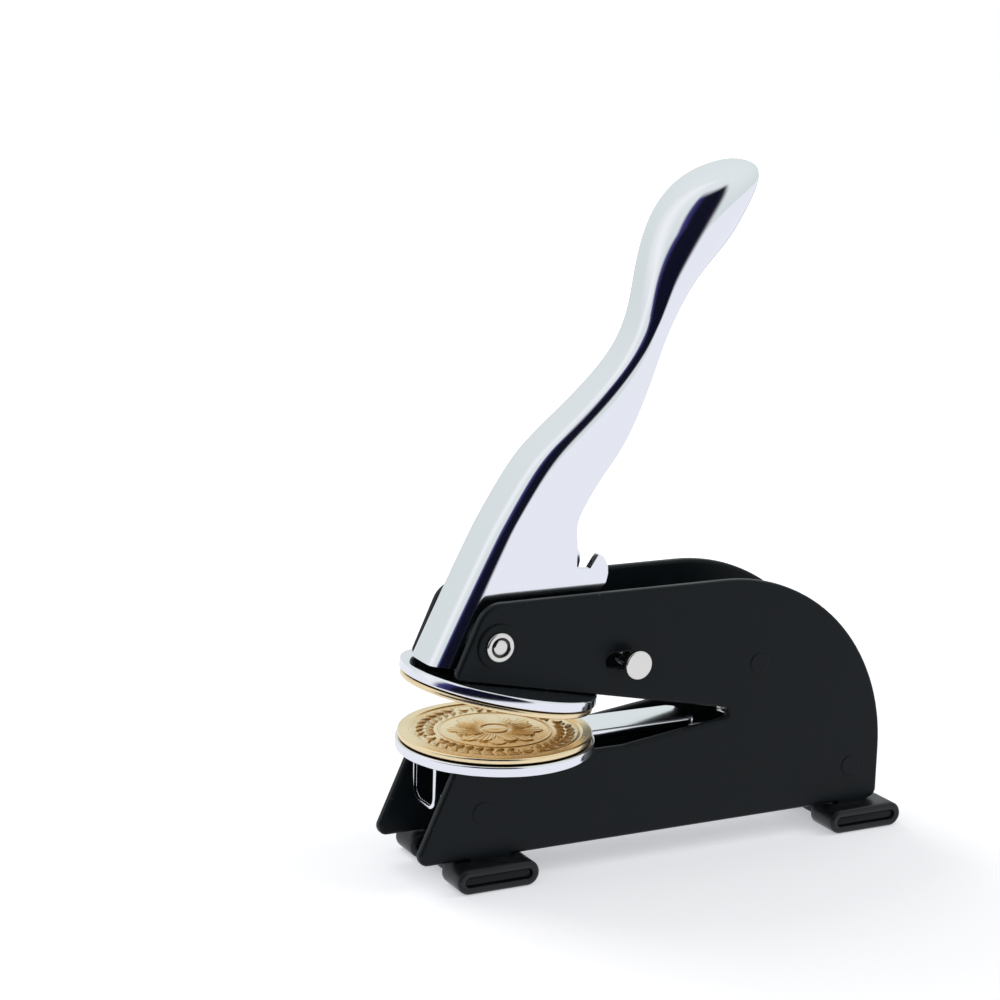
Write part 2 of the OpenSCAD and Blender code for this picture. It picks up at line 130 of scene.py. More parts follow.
def natural_spline(knots: Points, per_span: int) -> Points:
    """Runs a natural cubic spline through knots, one span for each unit of its parameter.

    Args:
        knots: An array of n rows, one for each knot, with any number of columns.
        per_span: The number of steps in each span.

    Returns:
        The (n - 1) * per_span + 1 points of the curve. Its second derivative is continuous and
        is zero at both ends.
    """
    knots = np.asarray(knots, float)
    n = len(knots)
    system = np.eye(n) * 4.0 + np.eye(n, k=1) + np.eye(n, k=-1)
    system[0], system[-1] = np.eye(n)[0], np.eye(n)[-1]
    bend = np.zeros_like(knots)
    bend[1:-1] = 6.0 * (knots[2:] - 2.0 * knots[1:-1] + knots[:-2])
    bend = np.linalg.solve(system, bend)
    s = np.linspace(0, n - 1, (n - 1) * per_span + 1)
    i = np.minimum(s.astype(int), n - 2)
    t = (s - i)[:, None]
    a, b, ma, mb = knots[i], knots[i + 1], bend[i], bend[i + 1]
    return (
        (1 - t) * a + t * b
        + ((1 - t) ** 3 - (1 - t)) * ma / 6 + (t**3 - t) * mb / 6
    )


def rounded_polygon(corners: Sequence[tuple[float, float, float]], step: float = 4.0) -> Points:
    """Rounds each corner of a polygon with its own radius.

    Args:
        corners: Rows of y, z and radius, in order round the polygon.
        step: The largest turn between two points of an arc, in degrees.

    Returns:
        The outline's points, each corner replaced by the arc that touches both its sides.
    """
    table = np.asarray(corners, float)
    spots, arcs = table[:, :2], []
    for i, (spot, radius) in enumerate(zip(spots, table[:, 2])):
        before, after = spots[i - 1] - spot, spots[(i + 1) % len(spots)] - spot
        before, after = before / np.linalg.norm(before), after / np.linalg.norm(after)
        half = math.acos(float(np.clip(before @ after, -1, 1))) / 2
        middle = spot + (before + after) / np.linalg.norm(before + after) * radius / math.sin(half)
        start, end = (spot + side * radius / math.tan(half) - middle for side in (before, after))
        first = math.atan2(start[1], start[0])
        sweep = (math.atan2(end[1], end[0]) - first + math.pi) % (2 * math.pi) - math.pi
        count = max(2, int(abs(math.degrees(sweep)) / step) + 1)
        turn = first + sweep * np.linspace(0, 1, count + 1)
        arcs.append(middle + radius * np.stack([np.cos(turn), np.sin(turn)], axis=1))
    return np.concatenate(arcs)


def resampled(outline: Points, spacing: float) -> Points:
    """Adds points on long straight sides, so that no side is longer than spacing."""
    parts = []
    for a, b in zip(outline, np.roll(outline, -1, axis=0)):
        count = max(1, int(np.linalg.norm(b - a) / spacing))
        parts.append(a + (b - a) * (np.arange(count) / count)[:, None])
    return np.concatenate(parts)


def inward(outline: Points) -> Points:
    """Returns each point's unit normal that points into a closed outline of any direction.

    Each normal is the bisector of its two sides' normals, lengthened to keep the sides' offset.
    """
    sides = np.roll(outline, -1, axis=0) - outline
    sides = sides / np.linalg.norm(sides, axis=1, keepdims=True)
    normals = np.stack([-sides[:, 1], sides[:, 0]], axis=1)
    both = normals + np.roll(normals, 1, axis=0)
    both = 2 * both / np.maximum((both**2).sum(axis=1, keepdims=True), 1.0)
    nxt = np.roll(outline, -1, axis=0)
    area = (outline[:, 0] * nxt[:, 1] - nxt[:, 0] * outline[:, 1]).sum()
    return both * np.sign(area)


def new_object(name: str, points: Points, faces: Sequence[Sequence[int]]) -> Piece:
    """Makes a smooth mesh object at the origin from millimetre points and faces.

    Args:
        name: The piece's name.
        points: An array of vertices, x, y, z.
        faces: The vertex numbers of each face.

    Returns:
        The linked object.
    """
    mesh = bpy.data.meshes.new(name)
    mesh.from_pydata(place(points.reshape(-1, 3)).tolist(), [], [list(f) for f in faces])
    mesh.update()
    mesh.polygons.foreach_set("use_smooth", np.ones(len(mesh.polygons), bool))
    obj = bpy.data.objects.new(name, mesh)
    bpy.context.scene.collection.objects.link(obj)
    return obj


def grid_faces(rows: int, columns: int, wrap_rows: bool, wrap_columns: bool) -> np.ndarray:
    """Returns the quads of a grid of rows x columns points, wrapped round where asked."""
    r = np.arange(rows if wrap_rows else rows - 1)[:, None]
    c = np.arange(columns if wrap_columns else columns - 1)[None, :]
    r2, c2 = (r + 1) % rows, (c + 1) % columns
    corners = [r * columns + c, r * columns + c2, r2 * columns + c2, r2 * columns + c]
    return np.stack([np.broadcast_to(k, (r.size, c.size)) for k in corners], -1).reshape(-1, 4)


def tube_faces(rows: int, columns: int) -> list[list[int]]:
    """Returns a closed tube's faces: its rows' quads, and a cap over each end row."""
    last = (rows - 1) * columns
    caps = [list(range(columns)), list(range(last, last + columns))]
    return grid_faces(rows, columns, False, True).tolist() + caps


def turn_outwards(obj: Piece, merge: float = 1e-7) -> None:
    """Merges doubles and makes all faces of a closed mesh point outwards.

    Args:
        obj: The piece to mend in place.
        merge: The distance, in metres, below which points are one.
    """
    work = bmesh.new()
    work.from_mesh(obj.data)
    bmesh.ops.remove_doubles(work, verts=work.verts, dist=merge)
    bmesh.ops.recalc_face_normals(work, faces=work.faces)
    work.to_mesh(obj.data)
    work.free()


def sharpen(obj: Piece, degrees: float = 32.0) -> None:
    """Shades a piece smooth, with sharp edges where faces turn by more than degrees."""
    mesh = obj.data
    mesh.polygons.foreach_set("use_smooth", np.ones(len(mesh.polygons), bool))
    mesh.set_sharp_from_angle(angle=math.radians(degrees))


def closed_ring(name: str, grid: Points) -> Piece:
    """Makes a ring from a grid of points that is wrapped round both ways, with smooth lips."""
    ring = new_object(name, grid, grid_faces(len(grid), grid.shape[1], True, True))
    turn_outwards(ring)
    sharpen(ring, degrees=50)
    return ring


def store(obj: Piece, name: str, values: Points) -> None:
    """Keeps one number for each vertex as an attribute that a material can read."""
    attribute = obj.data.attributes.new(name, "FLOAT", "POINT")
    attribute.data.foreach_set("value", np.asarray(values, np.float32))


def coordinates(obj: Piece) -> Points:
    """Returns the place of each of a piece's vertices, in metres."""
    spots = np.empty(len(obj.data.vertices) * 3)
    obj.data.vertices.foreach_get("co", spots)
    return spots.reshape(-1, 3)


def turned(
    name: str, profile: Sequence[tuple[float, float]], centre: tuple[float, float, float],
    along: Along, steps: int = 96,
) -> Piece:
    """Turns a profile about an axis, as on a lathe.

    Args:
        name: The piece's name.
        profile: Rows of height along the axis and radius. Ends of radius 0 close to a pole.
        centre: The axis's place, with heights counted from it.
        along: The axis's direction.
        steps: The number of steps round the axis.

    Returns:
        The piece: point (h, r) goes to the circle of radius r at height h. A profile that
        starts and ends off the axis is closed into a ring.
    """
    table = np.asarray(profile, float)
    turn = np.linspace(0, 2 * math.pi, steps, endpoint=False)
    h, r = np.broadcast_to(table[:, :1], (len(table), steps)), table[:, 1:]
    a, b = r * np.cos(turn), r * np.sin(turn)
    grid = np.stack([h, a, b] if along is Along.X else [a, b, h], axis=-1) + np.array(centre)
    is_ring = min(table[0, 1], table[-1, 1]) > 0
    obj = new_object(name, grid, grid_faces(len(table), steps, is_ring, True))
    turn_outwards(obj)
    sharpen(obj)
    return obj


def fillet(
    corner: tuple[float, float], before: tuple[float, float], after: tuple[float, float],
    radius: float, steps: int = 5,
) -> list[tuple[float, float]]:
    """Rounds one square corner of a turned profile.

    Args:
        corner: The corner's height and radius.
        before: The unit direction from the corner back along the profile.
        after: The unit direction from the corner on along the profile.
        radius: The fillet's radius.
        steps: The number of steps in its quarter circle.

    Returns:
        The quarter circle's points, as rows for a profile.
    """
    c, u, v = np.array(corner), np.array(before), np.array(after)
    middle = c + radius * (u + v)
    turn = np.linspace(0, math.pi / 2, steps + 1)[:, None]
    return [tuple(p) for p in middle - radius * (v * np.cos(turn) + u * np.sin(turn))]


def disc_profile(low: float, high: float, radius: float, round_low: float,
                 round_high: float, axis_gap: float = 0.0) -> list[tuple[float, float]]:
    """Returns the profile of a disc from low to high with rounded rims.

    Args:
        low: Height of the lower face.
        high: Height of the upper face.
        radius: The disc's radius.
        round_low: Radius of the lower rim's fillet.
        round_high: Radius of the upper rim's fillet.
        axis_gap: Radius at which the faces start, 0 for a full disc.
    """
    support = 0.3
    return (
        [(low, axis_gap), (low, radius - round_low - support)]
        + fillet((low, radius), (0, -1), (1, 0), round_low)
        + fillet((high, radius), (-1, 0), (0, -1), round_high)
        + [(high, radius - round_high - support), (high, axis_gap)]
    )


def plate(
    name: str, outline: Points, near: float, far: float, radius: float,
    along: Along = Along.X, steps: int = 4, support: float = 0.35,
) -> Piece:
    """Makes a flat plate with rounded edges.

    Args:
        name: The piece's name.
        outline: The plate's outline, in the two axes that its thickness doesn't lie along.
        near: One face's place along its thickness.
        far: The other face's place.
        radius: The edge's radius.
        along: The axis of its thickness.
        steps: The number of steps in the edge's quarter circle.
        support: Width of a flat ring inside the rounded edge.

    Returns:
        The piece. Each ring of a face lies r (1 - cos t) inside the outline and r (1 - sin t)
        below the face, with t from 0 to a quarter turn. An attribute `edge` is 1 there.
    """
    low, high = sorted((near, far))
    normal = inward(outline)
    turn = np.linspace(math.pi / 2, 0, steps + 1)
    rings = [(outline + normal * radius * (1 - math.cos(t)), radius * (1 - math.sin(t)))
             for t in turn]
    rings.insert(0, (rings[0][0] + normal * support, 0.0))
    edge = [0.0] + [1.0] * len(turn)
    levels = [(flat, low + drop) for flat, drop in rings]
    levels += [(flat, high - drop) for flat, drop in rings[::-1]]
    grid = np.stack([np.insert(flat, along.value, level, axis=1) for flat, level in levels])
    obj = new_object(name, grid, tube_faces(len(grid), len(outline)))
    store(obj, "edge", np.repeat(edge + edge[::-1], len(outline)))
    turn_outwards(obj, merge=0)
    return obj


def joined(name: str, parts: Sequence[Piece]) -> Piece:
    """Joins pieces into the first one and gives it a name."""
    with bpy.context.temp_override(
        active_object=parts[0], selected_objects=list(parts), selected_editable_objects=list(parts)
    ):
        bpy.ops.object.join()
    parts[0].name = parts[0].data.name = name
    return parts[0]


def applied(obj: Piece) -> None:
    """Replaces a piece's mesh by what its modifiers make of it."""
    graph = bpy.context.evaluated_depsgraph_get()
    mesh = bpy.data.meshes.new_from_object(obj.evaluated_get(graph))
    obj.modifiers.clear()
    obj.data = mesh


def cut(obj: Piece, tool: Piece, operation: str) -> None:
    """Applies an exact boolean of a tool solid to a piece and deletes the tool.

    Args:
        obj: The piece to change.
        tool: The other solid.
        operation: DIFFERENCE or INTERSECT.
    """
    change = obj.modifiers.new("cut", "BOOLEAN")
    change.operation, change.solver, change.object = operation, "EXACT", tool
    applied(obj)
    bpy.data.objects.remove(tool)


def rounded_copy(node: str, width: float, segments: int = 3) -> Piece:
    """Copies a node of the frame and rounds its rims.

    Args:
        node: The node to copy.
        width: The rounding's width, in millimetres.
        segments: The number of segments across it.

    Returns:
        The copy, its doubles merged, flat faces joined and rims rounded.
    """
    source = frame["nodes"][node]
    obj = bpy.data.objects.new(f"{node}_rounded", source.data.copy())
    obj.data.materials.clear()
    bpy.context.scene.collection.objects.link(obj)
    work = bmesh.new()
    work.from_mesh(obj.data)
    bmesh.ops.remove_doubles(work, verts=work.verts, dist=WELD)
    bmesh.ops.dissolve_limit(work, angle_limit=FLAT_TURN, verts=work.verts, edges=work.edges)
    bmesh.ops.recalc_face_normals(work, faces=work.faces)
    work.to_mesh(obj.data)
    work.free()
    bevel = obj.modifiers.new("rims", "BEVEL")
    bevel.width, bevel.segments, bevel.limit_method = width * MM, segments, "ANGLE"
    bevel.angle_limit = RIM_TURN
    bevel.use_clamp_overlap = True
    applied(obj)
    sharpen(obj)
    return obj


# ---------------------------------------------------------------------------------------------
# Finishes


class Nodes:
    """A short way to add, set and link the nodes of one tree."""

    def __init__(self, tree: bpy.types.NodeTree) -> None:
        """Takes the tree that nodes are added to."""
        self.tree = tree

    def add(self, kind: str, inputs: Optional[dict] = None, **settings: object) -> Node:
        """Adds a node.

        Args:
            kind: The node's type, without its ShaderNode prefix.
            inputs: Values or output sockets for its inputs, by name or number.
            settings: The node's own properties.

        Returns:
            The new node.
        """
        node = self.tree.nodes.new(kind if kind.startswith("Node") else f"ShaderNode{kind}")
        for key, value in settings.items():
            setattr(node, key, value)
        for key, value in (inputs or {}).items():
            if isinstance(value, Socket):
                self.tree.links.new(value, node.inputs[key])
            else:
                node.inputs[key].default_value = value
        return node

    def link(self, output: Socket, node: Node, name: str) -> None:
        """Links an output to a node's input of that name."""
        self.tree.links.new(output, node.inputs[name])

    def math(self, operation: str, a: object, b: object = 0.0) -> Socket:
        """Returns the result of one Math node."""
        return self.add("Math", {0: a, 1: b}, operation=operation).outputs[0]

    def times(self, a: object, b: object) -> Socket:
        """Returns the product of two values."""
        return self.math("MULTIPLY", a, b)

    def spot(self) -> Socket:
        """Returns the surface's own place."""
        return self.add("TexCoord").outputs["Object"]

    def parts(self, way: Socket) -> Outputs:
        """Returns the X, Y and Z parts of a direction or place."""
        return self.add("SeparateXYZ", {0: way}).outputs

    def attribute(self, name: str) -> Socket:
        """Returns the number that the mesh keeps under a name, and 0 where it keeps none."""
        return self.add("Attribute", attribute_name=name).outputs["Fac"]

    def noise(self, spot: Socket, scale: object, detail: float) -> Socket:
        """Returns a noise of a place, from 0 to 1 and mostly near 0.5."""
        return self.add("TexNoise", {"Vector": spot, "Scale": scale, "Detail": detail}).outputs["Fac"]

    def mix(self, factor: object, a: object, b: object) -> Socket:
        """Returns the colour that lies factor of the way from a to b."""
        node = self.add("Mix", {"Factor": factor, 6: a, 7: b}, data_type="RGBA")
        return node.outputs[2]

    def span(self, value: object, low: float, high: float, to_low: float = 0.0,
             to_high: float = 1.0) -> Socket:
        """Returns value carried from the range low..high to to_low..to_high, held at its ends."""
        node = self.add("MapRange", {0: value, 1: low, 2: high, 3: to_low, 4: to_high})
        return node.outputs[0]


def colour(red: float, green: float, blue: float) -> Colour:
    """Returns a linear colour from the 0 to 255 values that a screen shows."""
    parts = [c / 255 for c in (red, green, blue)]
    linear = [c / 12.92 if c < 0.04045 else ((c + 0.055) / 1.055) ** 2.4 for c in parts]
    return (*linear, 1.0)


def shade(base: Colour, factor: float) -> Colour:
    """Returns a colour with its red, green and blue multiplied by a factor."""
    return (*(c * factor for c in base[:3]), 1.0)


def make_group(name: str, inputs: dict[str, float],
               outputs: Sequence[str]) -> tuple[Nodes, Node, Node]:
    """Starts a shader node group whose inputs and outputs are plain numbers.

    Args:
        name: The group's name.
        inputs: The default value of each input.
        outputs: The name of each output.

    Returns:
        The group's builder, and its input and output nodes.
    """
    tree = bpy.data.node_groups.new(name, "ShaderNodeTree")
    for key, default in inputs.items():
        socket = tree.interface.new_socket(key, in_out="INPUT", socket_type="NodeSocketFloat")
        socket.default_value = default
    for key in outputs:
        tree.interface.new_socket(key, in_out="OUTPUT", socket_type="NodeSocketFloat")
    nodes = Nodes(tree)
    return nodes, nodes.add("NodeGroupInput"), nodes.add("NodeGroupOutput")


def grain_group() -> bpy.types.NodeTree:
    """Fine grain: two noises of the surface's own place, as a mask and a height.

    Inputs are Scale (per metre) and Stretch (how much longer the grain is along Y). Mask runs
    from 0 to 1 in patches 20 times as broad, and Height holds the fine relief.
    """
    nodes, given, result = make_group("grain", {"Scale": 900.0, "Stretch": 1.0}, ("Mask", "Height"))
    squeeze = nodes.add("CombineXYZ", {"X": 1.0, "Z": 1.0})
    nodes.link(nodes.math("DIVIDE", 1.0, given.outputs["Stretch"]), squeeze, "Y")
    spot = nodes.add("VectorMath", {0: nodes.spot(), 1: squeeze.outputs[0]},
                     operation="MULTIPLY").outputs[0]
    fine = nodes.noise(spot, given.outputs["Scale"], 3.0)
    broad = nodes.noise(spot, nodes.times(given.outputs["Scale"], 0.05), 4.0)
    nodes.link(nodes.span(broad, 0.35, 0.65), result, "Mask")
    nodes.link(fine, result, "Height")
    return nodes.tree


def wear_group() -> bpy.types.NodeTree:
    """Edge wear: the piece's `edge` attribute, broken up by noise.

    Inputs are Scale (per metre) and Amount (from 0 to 1). Mask is 1 where the edge is rubbed.
    """
    nodes, given, result = make_group("edge_wear", {"Scale": 500.0, "Amount": 0.3}, ("Mask",))
    noise = nodes.noise(nodes.spot(), given.outputs["Scale"], 5.0)
    start = nodes.math("SUBTRACT", 1.0, nodes.times(given.outputs["Amount"], 0.6))
    over = nodes.math("SUBTRACT", noise, nodes.times(start, 0.7))
    nodes.link(nodes.times(nodes.span(over, 0.0, 0.08), nodes.attribute("edge")), result, "Mask")
    return nodes.tree


def dust_group() -> bpy.types.NodeTree:
    """Dust: settles on faces that look up, in noise patches. Mask is its cover, from 0 to 1."""
    nodes, given, result = make_group("dust", {"Amount": 0.3}, ("Mask",))
    up = nodes.parts(nodes.add("NewGeometry").outputs["Normal"])[2]
    noise = nodes.noise(nodes.spot(), 260.0, 8.0)
    cover = nodes.times(nodes.span(up, 0.2, 1.0), nodes.span(noise, 0.42, 0.75))
    nodes.link(nodes.times(cover, given.outputs["Amount"]), result, "Mask")
    return nodes.tree


def scratch_group() -> bpy.types.NodeTree:
    """Hairline scratches: two long thin noises crossed. Mask marks the lines."""
    nodes, given, result = make_group("scratches", {"Scale": 300.0, "Amount": 0.3}, ("Mask",))
    spot = nodes.spot()
    lines = []
    for turn in ((0.4, 0.3, 0.5), (-0.6, 0.8, -0.3)):
        drawn_out = {"Vector": spot, "Rotation": turn, "Scale": (1.0, 0.04, 1.0)}
        noise = nodes.noise(nodes.add("Mapping", drawn_out).outputs[0], given.outputs["Scale"], 2.0)
        off = nodes.math("ABSOLUTE", nodes.math("SUBTRACT", noise, 0.5))
        lines.append(nodes.span(off, 0.0, 0.012, 1.0, 0.0))
    both = nodes.math("MAXIMUM", *lines)
    nodes.link(nodes.times(both, given.outputs["Amount"]), result, "Mask")
    return nodes.tree


class Effects:
    """The shared effect groups, each built once."""

    _made: dict[str, bpy.types.NodeTree] = {}
    _makers: dict[str, Callable[[], bpy.types.NodeTree]] = {
        "grain": grain_group, "wear": wear_group, "dust": dust_group, "scratch": scratch_group,
    }

    @classmethod
    def use(cls, nodes: Nodes, name: str, **values: float) -> Outputs:
        """Places an effect in a material with its own values.

        Args:
            nodes: The material's builder.
            name: The effect: grain, wear, dust or scratch.
            values: The group's inputs, by name.

        Returns:
            The group node's outputs.
        """
        if name not in cls._made:
            cls._made[name] = cls._makers[name]()
        node = nodes.add("Group", node_tree=cls._made[name])
        for key, value in values.items():
            node.inputs[key].default_value = value
        return node.outputs


@dataclass(frozen=True)
class Finish:
    """What every finish has: a name, a base colour and the record's slot."""

    name: str
    base: Colour
    slot: str

    def material(self) -> bpy.types.Material:
        """Returns the finish's material, built the first time it is asked for."""
        material = bpy.data.materials.get(self.name)
        if material is None:
            material = bpy.data.materials.new(self.name)
            material.use_nodes = True
            self.build(Nodes(material.node_tree), material.node_tree.nodes["Principled BSDF"])
        return material

    def build(self, nodes: Nodes, shader: Node) -> None:
        """Builds the material's nodes round its shader; each kind of finish has its own."""
        raise NotImplementedError

    def patches(self, nodes: Nodes, mask: Socket, factor: float) -> Socket:
        """Returns the base colour, multiplied by a factor where the mask is 1."""
        return nodes.mix(mask, self.base, shade(self.base, factor))


def surfaced(nodes: Nodes, shader: Node, tone: Socket,
             rough: Socket, relief: tuple[Socket, float, float],
             **fixed: float) -> None:
    """Gives a shader its colour, roughness and relief.

    Args:
        nodes: The material's builder.
        shader: The shader node.
        tone: The colour.
        rough: The roughness.
        relief: The relief's height, strength and depth in metres.
        fixed: Values set directly on the shader's sockets, with _ for a space.
    """
    for key, value in fixed.items():
        shader.inputs[key.replace("_", " ")].default_value = value
    height, strength, distance = relief
    bump = nodes.add("Bump", {"Height": height, "Strength": strength, "Distance": distance})
    nodes.link(tone, shader, "Base Color")
    nodes.link(rough, shader, "Roughness")
    nodes.link(bump.outputs[0], shader, "Normal")


BARE_EDGE = colour(58, 60, 63)
DUST_ON_ENAMEL = colour(120, 120, 118)
DUST_ON_RUBBER = colour(118, 117, 114)
SCUFF_GREY = colour(70, 72, 74)
# Painted shade in the groove of the pivot pin heads.
GROOVE_PAINTED_SHADE = colour(20, 19, 18)


@dataclass(frozen=True)
class Enamel(Finish):
    """Satin black enamel: a fine orange-peel relief, rubbed edges and a little dust."""

    roughness: float = 0.36
    peel: float = 0.05
    wear: float = 0.1
    dust: float = 0.04
    shine: float = 0.16
    grain_scale: float = 2600.0
    peel_depth: float = 0.0004

    def build(self, nodes: Nodes, shader: Node) -> None:
        """Builds the enamel's nodes."""
        grain = Effects.use(nodes, "grain", Scale=self.grain_scale)
        wear = Effects.use(nodes, "wear", Amount=self.wear)["Mask"]
        dust = Effects.use(nodes, "dust", Amount=self.dust)["Mask"]
        tone = nodes.mix(wear, self.patches(nodes, grain["Mask"], 1.1), BARE_EDGE)
        tone = nodes.mix(dust, tone, DUST_ON_ENAMEL)
        rough = nodes.span(grain["Mask"], 0, 1, self.roughness - 0.03, self.roughness + 0.05)
        surfaced(nodes, shader, tone, rough, (grain["Height"], self.peel, self.peel_depth),
                 Specular_IOR_Level=self.shine)


@dataclass(frozen=True)
class Plated(Finish):
    """Bright plated metal: hairline scratches, faint waviness, haze patches and pits.

    It turns black where the piece's `depth` attribute says that it is a groove: a painted shade in the
    groove.
    """

    roughness: float = 0.05
    ripple: float = 0.03
    scratches: float = 0.2
    ripple_scale: float = 90.0
    pits: float = 0.06
    pit_scale: float = 1400.0
    ripple_depth: float = 0.002

    def build(self, nodes: Nodes, shader: Node) -> None:
        """Builds the plating's nodes."""
        grain = Effects.use(nodes, "grain", Scale=self.ripple_scale)
        scratch = Effects.use(nodes, "scratch", Amount=self.scratches)["Mask"]
        pitted = Effects.use(nodes, "grain", Scale=self.pit_scale)["Height"]
        haze = self.patches(nodes, grain["Mask"], 0.95)
        # Painted shade: black wherever `depth` marks a groove.
        tone = nodes.mix(nodes.attribute("depth"), haze, GROOVE_PAINTED_SHADE)
        rough = nodes.span(grain["Mask"], 0, 1, self.roughness, self.roughness + 0.03)
        rough = nodes.math("ADD", rough, nodes.times(scratch, 0.25))
        height = nodes.math("ADD", grain["Height"], nodes.times(pitted, self.pits))
        surfaced(nodes, shader, tone, rough, (height, self.ripple, self.ripple_depth), Metallic=1.0)


@dataclass(frozen=True)
class Brass(Finish):
    """Polished brass with darker recesses, read from the die's `depth` attribute.

    From 0 to 1 the attribute is a recess of the face. Above 1 it is a painted shadow under the rim.
    """

    recess: Colour = colour(208, 174, 128)
    shadowed: Colour = colour(14, 12, 9)
    roughness: float = 0.2
    grain_scale: float = 1500.0
    relief: float = 0.06
    relief_depth: float = 0.0003

    def build(self, nodes: Nodes, shader: Node) -> None:
        """Builds the brass's nodes."""
        grain = Effects.use(nodes, "grain", Scale=self.grain_scale)
        scratch = Effects.use(nodes, "scratch", Amount=0.35, Scale=500.0)["Mask"]
        depth = nodes.attribute("depth")
        # Darker where `depth` marks the relief's slopes and the field at their foot.
        recess_darkening = nodes.times(depth, nodes.span(grain["Mask"], 0, 1, 0.75, 1.0))
        tone = nodes.mix(recess_darkening, self.patches(nodes, grain["Mask"], 0.93), self.recess)
        # Painted shadow under the rim, where `depth` is above 1.
        tone = nodes.mix(nodes.span(depth, 1.1, 1.5), tone, self.shadowed)
        rough = nodes.span(depth, 0, 1, self.roughness, self.roughness + 0.2)
        rough = nodes.math("ADD", rough, nodes.times(scratch, 0.2))
        surfaced(nodes, shader, tone, rough, (grain["Height"], self.relief, self.relief_depth),
                 Metallic=1.0)


@dataclass(frozen=True)
class Brushed(Finish):
    """Satin machined steel, with grain drawn along Y."""

    roughness: float = 0.34
    stretch: float = 14.0
    grain_scale: float = 2200.0
    relief: float = 0.08
    relief_depth: float = 0.0002

    def build(self, nodes: Nodes, shader: Node) -> None:
        """Builds the steel's nodes."""
        grain = Effects.use(nodes, "grain", Scale=self.grain_scale, Stretch=self.stretch)
        scratch = Effects.use(nodes, "scratch", Amount=0.4, Scale=420.0)["Mask"]
        streak = nodes.span(grain["Height"], 0.35, 0.65)
        tone = nodes.mix(streak, shade(self.base, 0.8), self.base)
        rough = nodes.span(grain["Mask"], 0, 1, self.roughness, self.roughness + 0.12)
        rough = nodes.math("ADD", rough, nodes.times(scratch, 0.15))
        surfaced(nodes, shader, tone, rough, (grain["Height"], self.relief, self.relief_depth),
                 Metallic=1.0)


@dataclass(frozen=True)
class Rubber(Finish):
    """Moulded black rubber: a pebbled skin, scuffs and dust in the upward faces."""

    roughness: float = 0.38
    pebble: float = 0.1
    grain_scale: float = 1900.0
    pebble_depth: float = 0.0004

    def build(self, nodes: Nodes, shader: Node) -> None:
        """Builds the rubber's nodes."""
        grain = Effects.use(nodes, "grain", Scale=self.grain_scale)
        scratch = Effects.use(nodes, "scratch", Amount=0.5, Scale=200.0)["Mask"]
        dust = Effects.use(nodes, "dust", Amount=0.08)["Mask"]
        tone = self.patches(nodes, grain["Mask"], 1.4)
        tone = nodes.mix(nodes.times(scratch, 0.3), tone, SCUFF_GREY)
        tone = nodes.mix(dust, tone, DUST_ON_RUBBER)
        rough = nodes.span(grain["Mask"], 0, 1, self.roughness - 0.05, self.roughness + 0.08)
        surfaced(nodes, shader, tone, rough, (grain["Height"], self.pebble, self.pebble_depth),
                 Specular_IOR_Level=0.35)


BLACK_ENAMEL = Enamel("satin_black_enamel", colour(16, 22, 25), "black_enamel")
# Matt black with no shine for the tab's face: a painted dark reflection in place of the plated face.
TAB_PAINTED_REFLECTION = Enamel("arm_tab_painted_reflection", colour(7, 9, 9), "black_enamel", 0.6, 0.05, 0.0, 0.0, 0.0)
CHROME = Plated("bright_chrome", (0.84, 0.86, 0.91, 1.0), "bright_chrome", 0.04, 0.07, 0.15,
                pits=0.12)
NICKEL = Plated("bright_nickel", (0.79, 0.765, 0.72, 1.0), "nickel", 0.14, 0.02, 0.35)
BRASS = Brass("die_brass", colour(250, 228, 184), "brass")
STEEL = Brushed("machined_steel", (0.42, 0.43, 0.45, 1.0), "steel")
SPRING_STEEL = Brushed("spring_steel", (0.3, 0.31, 0.34, 1.0), "spring_steel", 0.28, 30.0)
BRONZE = Brushed("bush_bronze", (0.52, 0.33, 0.16, 1.0), "bronze", 0.38, 1.0)
RUBBER = Rubber("black_rubber_skin", colour(12, 14, 16), "black_rubber")
PLASTIC = Rubber("black_bush_plastic", colour(5, 5, 6), "black_plastic", 0.45, 0.03)


def dress(obj: Piece, finish: Finish) -> None:
    """Gives a piece its finish and nothing else."""
    obj.data.materials.clear()
    obj.data.materials.append(finish.material())


@dataclass
class SubAssembly:
    """A group of pieces on one body. It keeps what it made, and main logs how many."""

    body: Body
    pieces: list[Piece] = field(default_factory=list)

    def add(self, obj: Piece, finish: Finish, *nodes: str) -> Piece:
        """Dresses a piece, makes it ride on the body and stand for nodes of the frame.

        Args:
            obj: The finished piece.
            finish: Its finish.
            nodes: The nodes that it replaces.

        Returns:
            The piece.
        """
        dress(obj, finish)
        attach(obj, self.body.value)
        if nodes:
            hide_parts(*nodes)
        self.pieces.append(obj)
        log.info("%s rides on %s: %d vertices", obj.name, self.body.value, len(obj.data.vertices))
        return obj

    def copy_nodes(self, finishes: dict[str, tuple[Finish, float]]) -> None:
        """Replaces nodes by copies with rounded rims.

        Args:
            finishes: The finish and the rounding's width, in millimetres, of each node.
        """
        for node, (finish, width) in finishes.items():
            self.add(rounded_copy(node, width), finish, node)


# ---------------------------------------------------------------------------------------------
# Sub-assemblies


FOOT_PLACES = (-7.4, 104.6)
LOCK_PLACE = (30.8, 54.5)
HOLDER_RADIUS = 25.6


